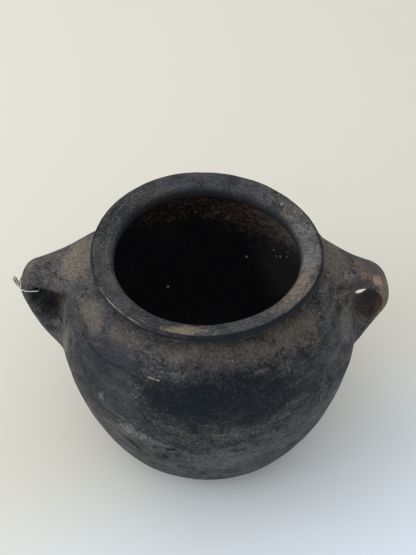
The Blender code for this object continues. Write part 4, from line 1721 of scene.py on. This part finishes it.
@dataclass(frozen=True)
class Studio:
    """The plain pale floor, the soft light and the camera."""

    image_height: int = 555
    focal_pixels: float = 840.0
    sensor: float = 36.0
    camera_place: Point = (0.0, -0.33719, 0.48240)
    look_down: float = math.radians(46.943)
    look_aside: float = math.radians(-0.102)
    floor_half: float = 6.0
    key_place: Point = (-0.95, 0.50, 1.40)
    key_size: Pair = (1.4, 1.3)
    key_power: float = 4.5
    side_place: Point = (-1.28, -0.28, 0.80)
    side_size: Pair = (1.0, 0.22)
    side_power: float = 6.5
    world_level: float = 0.78
    backdrop_level: float = 0.82
    key_colour: Point = (1.0, 0.98, 0.95)
    side_colour: Point = (0.80, 0.90, 1.0)
    sky_colour: Colour = (0.96, 0.98, 1.0, 1.0)
    aim: Point = (0.0, 0.0, 0.08)
    warm_paper: Colour = paint(231, 226, 212)
    # Painted light: paler, bluish paper laid near the pot in front and to its right.
    painted_fill_light_paper: Colour = paint(236, 245, 253)
    cool_heading: Point = (0.45, -0.89, 0.0)
    cool_start: Pair = (-0.03, 0.16)
    cool_reach: Pair = (0.60, 0.20)

    def build(self) -> None:
        """Makes the floor, the lights, the world and the camera."""
        self.floor()
        self.lamp("window_light", self.key_place, self.key_size, self.key_power, self.key_colour)
        self.lamp("side_light", self.side_place, self.side_size, self.side_power, self.side_colour)
        self.world()
        self.camera()

    def floor(self) -> None:
        """A level sheet of matte warm paper, with painted light near the pot in front and to its right: paler
        and bluer there, standing in for cool fill light in the pot's shadow.
        """
        half = self.floor_half
        mesh = bpy.data.meshes.new("floor")
        corners = [(-half, -half, 0.0), (half, -half, 0.0), (half, half, 0.0), (-half, half, 0.0)]
        mesh.from_pydata(corners, [], [(0, 1, 2, 3)])
        floor = bpy.data.objects.new("floor", mesh)
        bpy.context.scene.collection.objects.link(floor)
        material, sheet, shader = new_material("floor_paper")
        place = sheet.object_place()
        lean = sheet.vector("DOT_PRODUCT", place, self.cool_heading)
        near = sheet.ramp(sheet.vector("LENGTH", place), *self.cool_reach)
        # Painted light: the floor turns paler and bluer near the pot, in front and to its right.
        cool = sheet.times(sheet.ramp(lean, *self.cool_start), near)
        colour = sheet.mix(cool, self.warm_paper, self.painted_fill_light_paper)
        sheet.feed(shader.inputs["Base Color"], colour)
        shader.inputs["Roughness"].default_value = 0.85
        shader.inputs["Specular IOR Level"].default_value = 0.2
        mesh.materials.append(material)

    def lamp(self, name: str, place: Point, size: Pair, power: float, colour: Point) -> None:
        """A window of soft light at a place, turned to the pot.

        Args:
            name: The lamp's name.
            place: Where it stands.
            size: Its width and height.
            power: Its power in watts.
            colour: The colour of its light.
        """
        lamp = bpy.data.lights.new(name, "AREA")
        lamp.shape = "RECTANGLE"
        lamp.size, lamp.size_y = size
        lamp.energy = power
        lamp.color = colour
        light = bpy.data.objects.new(name, lamp)
        bpy.context.scene.collection.objects.link(light)
        light.location = place
        away = np.array(place) - np.array(self.aim)
        tilt = math.atan2(math.hypot(away[0], away[1]), away[2])
        light.rotation_euler = (tilt, 0.0, math.atan2(away[1], away[0]) + math.pi / 2)

    def world(self) -> None:
        """An even pale sky, which the camera and polished metal see a little lighter than it shines."""
        world = bpy.data.worlds.new("soft_room")
        bpy.context.scene.world = world
        world.use_nodes = True
        sheet = NodeSheet(world.node_tree)
        shader = world.node_tree.nodes["Background"]
        shader.inputs["Color"].default_value = self.sky_colour
        path = sheet.add("ShaderNodeLightPath")
        seen = sheet.math("MAXIMUM", path.outputs["Is Camera Ray"], path.outputs["Is Glossy Ray"])
        seen = sheet.math("MAXIMUM", seen, path.outputs["Is Transmission Ray"])
        level = sheet.ramp(seen, 0.0, 1.0, self.world_level, self.backdrop_level)
        sheet.feed(shader.inputs["Strength"], level)

    def camera(self) -> None:
        """The camera at the photograph's place and angle, with no shift and no depth of field."""
        lens = bpy.data.cameras.new("viewer")
        lens.sensor_fit = "VERTICAL"
        lens.sensor_height = self.sensor
        lens.lens = self.focal_pixels / self.image_height * self.sensor
        lens.clip_start = 0.01
        camera = bpy.data.objects.new("viewer", lens)
        bpy.context.scene.collection.objects.link(camera)
        camera.location = self.camera_place
        camera.rotation_euler = (math.pi / 2 - self.look_down, 0.0, self.look_aside)
        bpy.context.scene.camera = camera


def fit_out(
    piece: bpy.types.Object, body: Body, node: str, material: bpy.types.Material
) -> None:
    """Gives a piece its finish, its body and the node that it stands for.

    Args:
        piece: The finished object.
        body: The body that it rides on.
        node: The frame's node that it replaces.
        material: Its finish.
    """
    piece.data.materials.append(material)
    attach(piece, body.value)
    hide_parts(node)
    corners = np.array([corner[:] for corner in piece.bound_box])
    size = (corners.max(axis=0) - corners.min(axis=0)) / MM
    LOG.info("%s: %d faces, %.0f x %.0f x %.0f mm", piece.name, len(piece.data.polygons), *size)


@dataclass(frozen=True)
class PotPiece:
    """A ring of the pot: its node and slot, its stretches of skin, and whether it closes on itself."""

    node: str
    slot: str
    stretches: tuple[Stretch, ...]
    joined: bool = True


POT_PIECES = (
    PotPiece(
        "base_disc",
        "base_clay",
        (("axis_out", "base_out", 0.0016), ("base_in", "axis_in", 0.0020)),
        joined=False,
    ),
    PotPiece(
        "lower_wall",
        "bowl_clay",
        (("base_out", "shoulder_out", 0.0011), ("shoulder_in", "base_in", 0.0023)),
    ),
    PotPiece(
        "shoulder_wall",
        "shoulder_clay",
        (("shoulder_out", "neck_out", 0.0008), ("neck_in", "shoulder_in", 0.0016)),
    ),
    PotPiece("rim_collar", "rim_clay", (("neck_out", "neck_in", 0.00055),)),
)


def main() -> None:
    """Loads the frame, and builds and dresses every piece."""
    logging.basicConfig(level=logging.INFO, format="%(message)s")
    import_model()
    Studio().build()
    effects = SharedEffects()
    finishes = {finish.name: finish.build(effects) for finish in CLAY_FINISHES}
    finishes["bright_wire"] = WireFinish().build()
    vessel = Vessel()
    for part in POT_PIECES:
        piece = vessel.piece(f"{part.node}_clay", part.stretches, part.joined)
        fit_out(piece, Body.POT, part.node, finishes[part.slot])
    for handle, node in ((LEFT_HANDLE, "left_handle"), (RIGHT_HANDLE, "right_handle")):
        fit_out(handle.build(vessel), Body.POT, node, finishes["handle_clay"])
    fit_out(TieWire(LEFT_HANDLE).build(), Body.WIRE, "tie_wire", finishes["bright_wire"])
    bpy.context.scene.view_settings.view_transform = "Standard"
    bpy.context.view_layer.update()


if __name__ == "__main__":
    main()
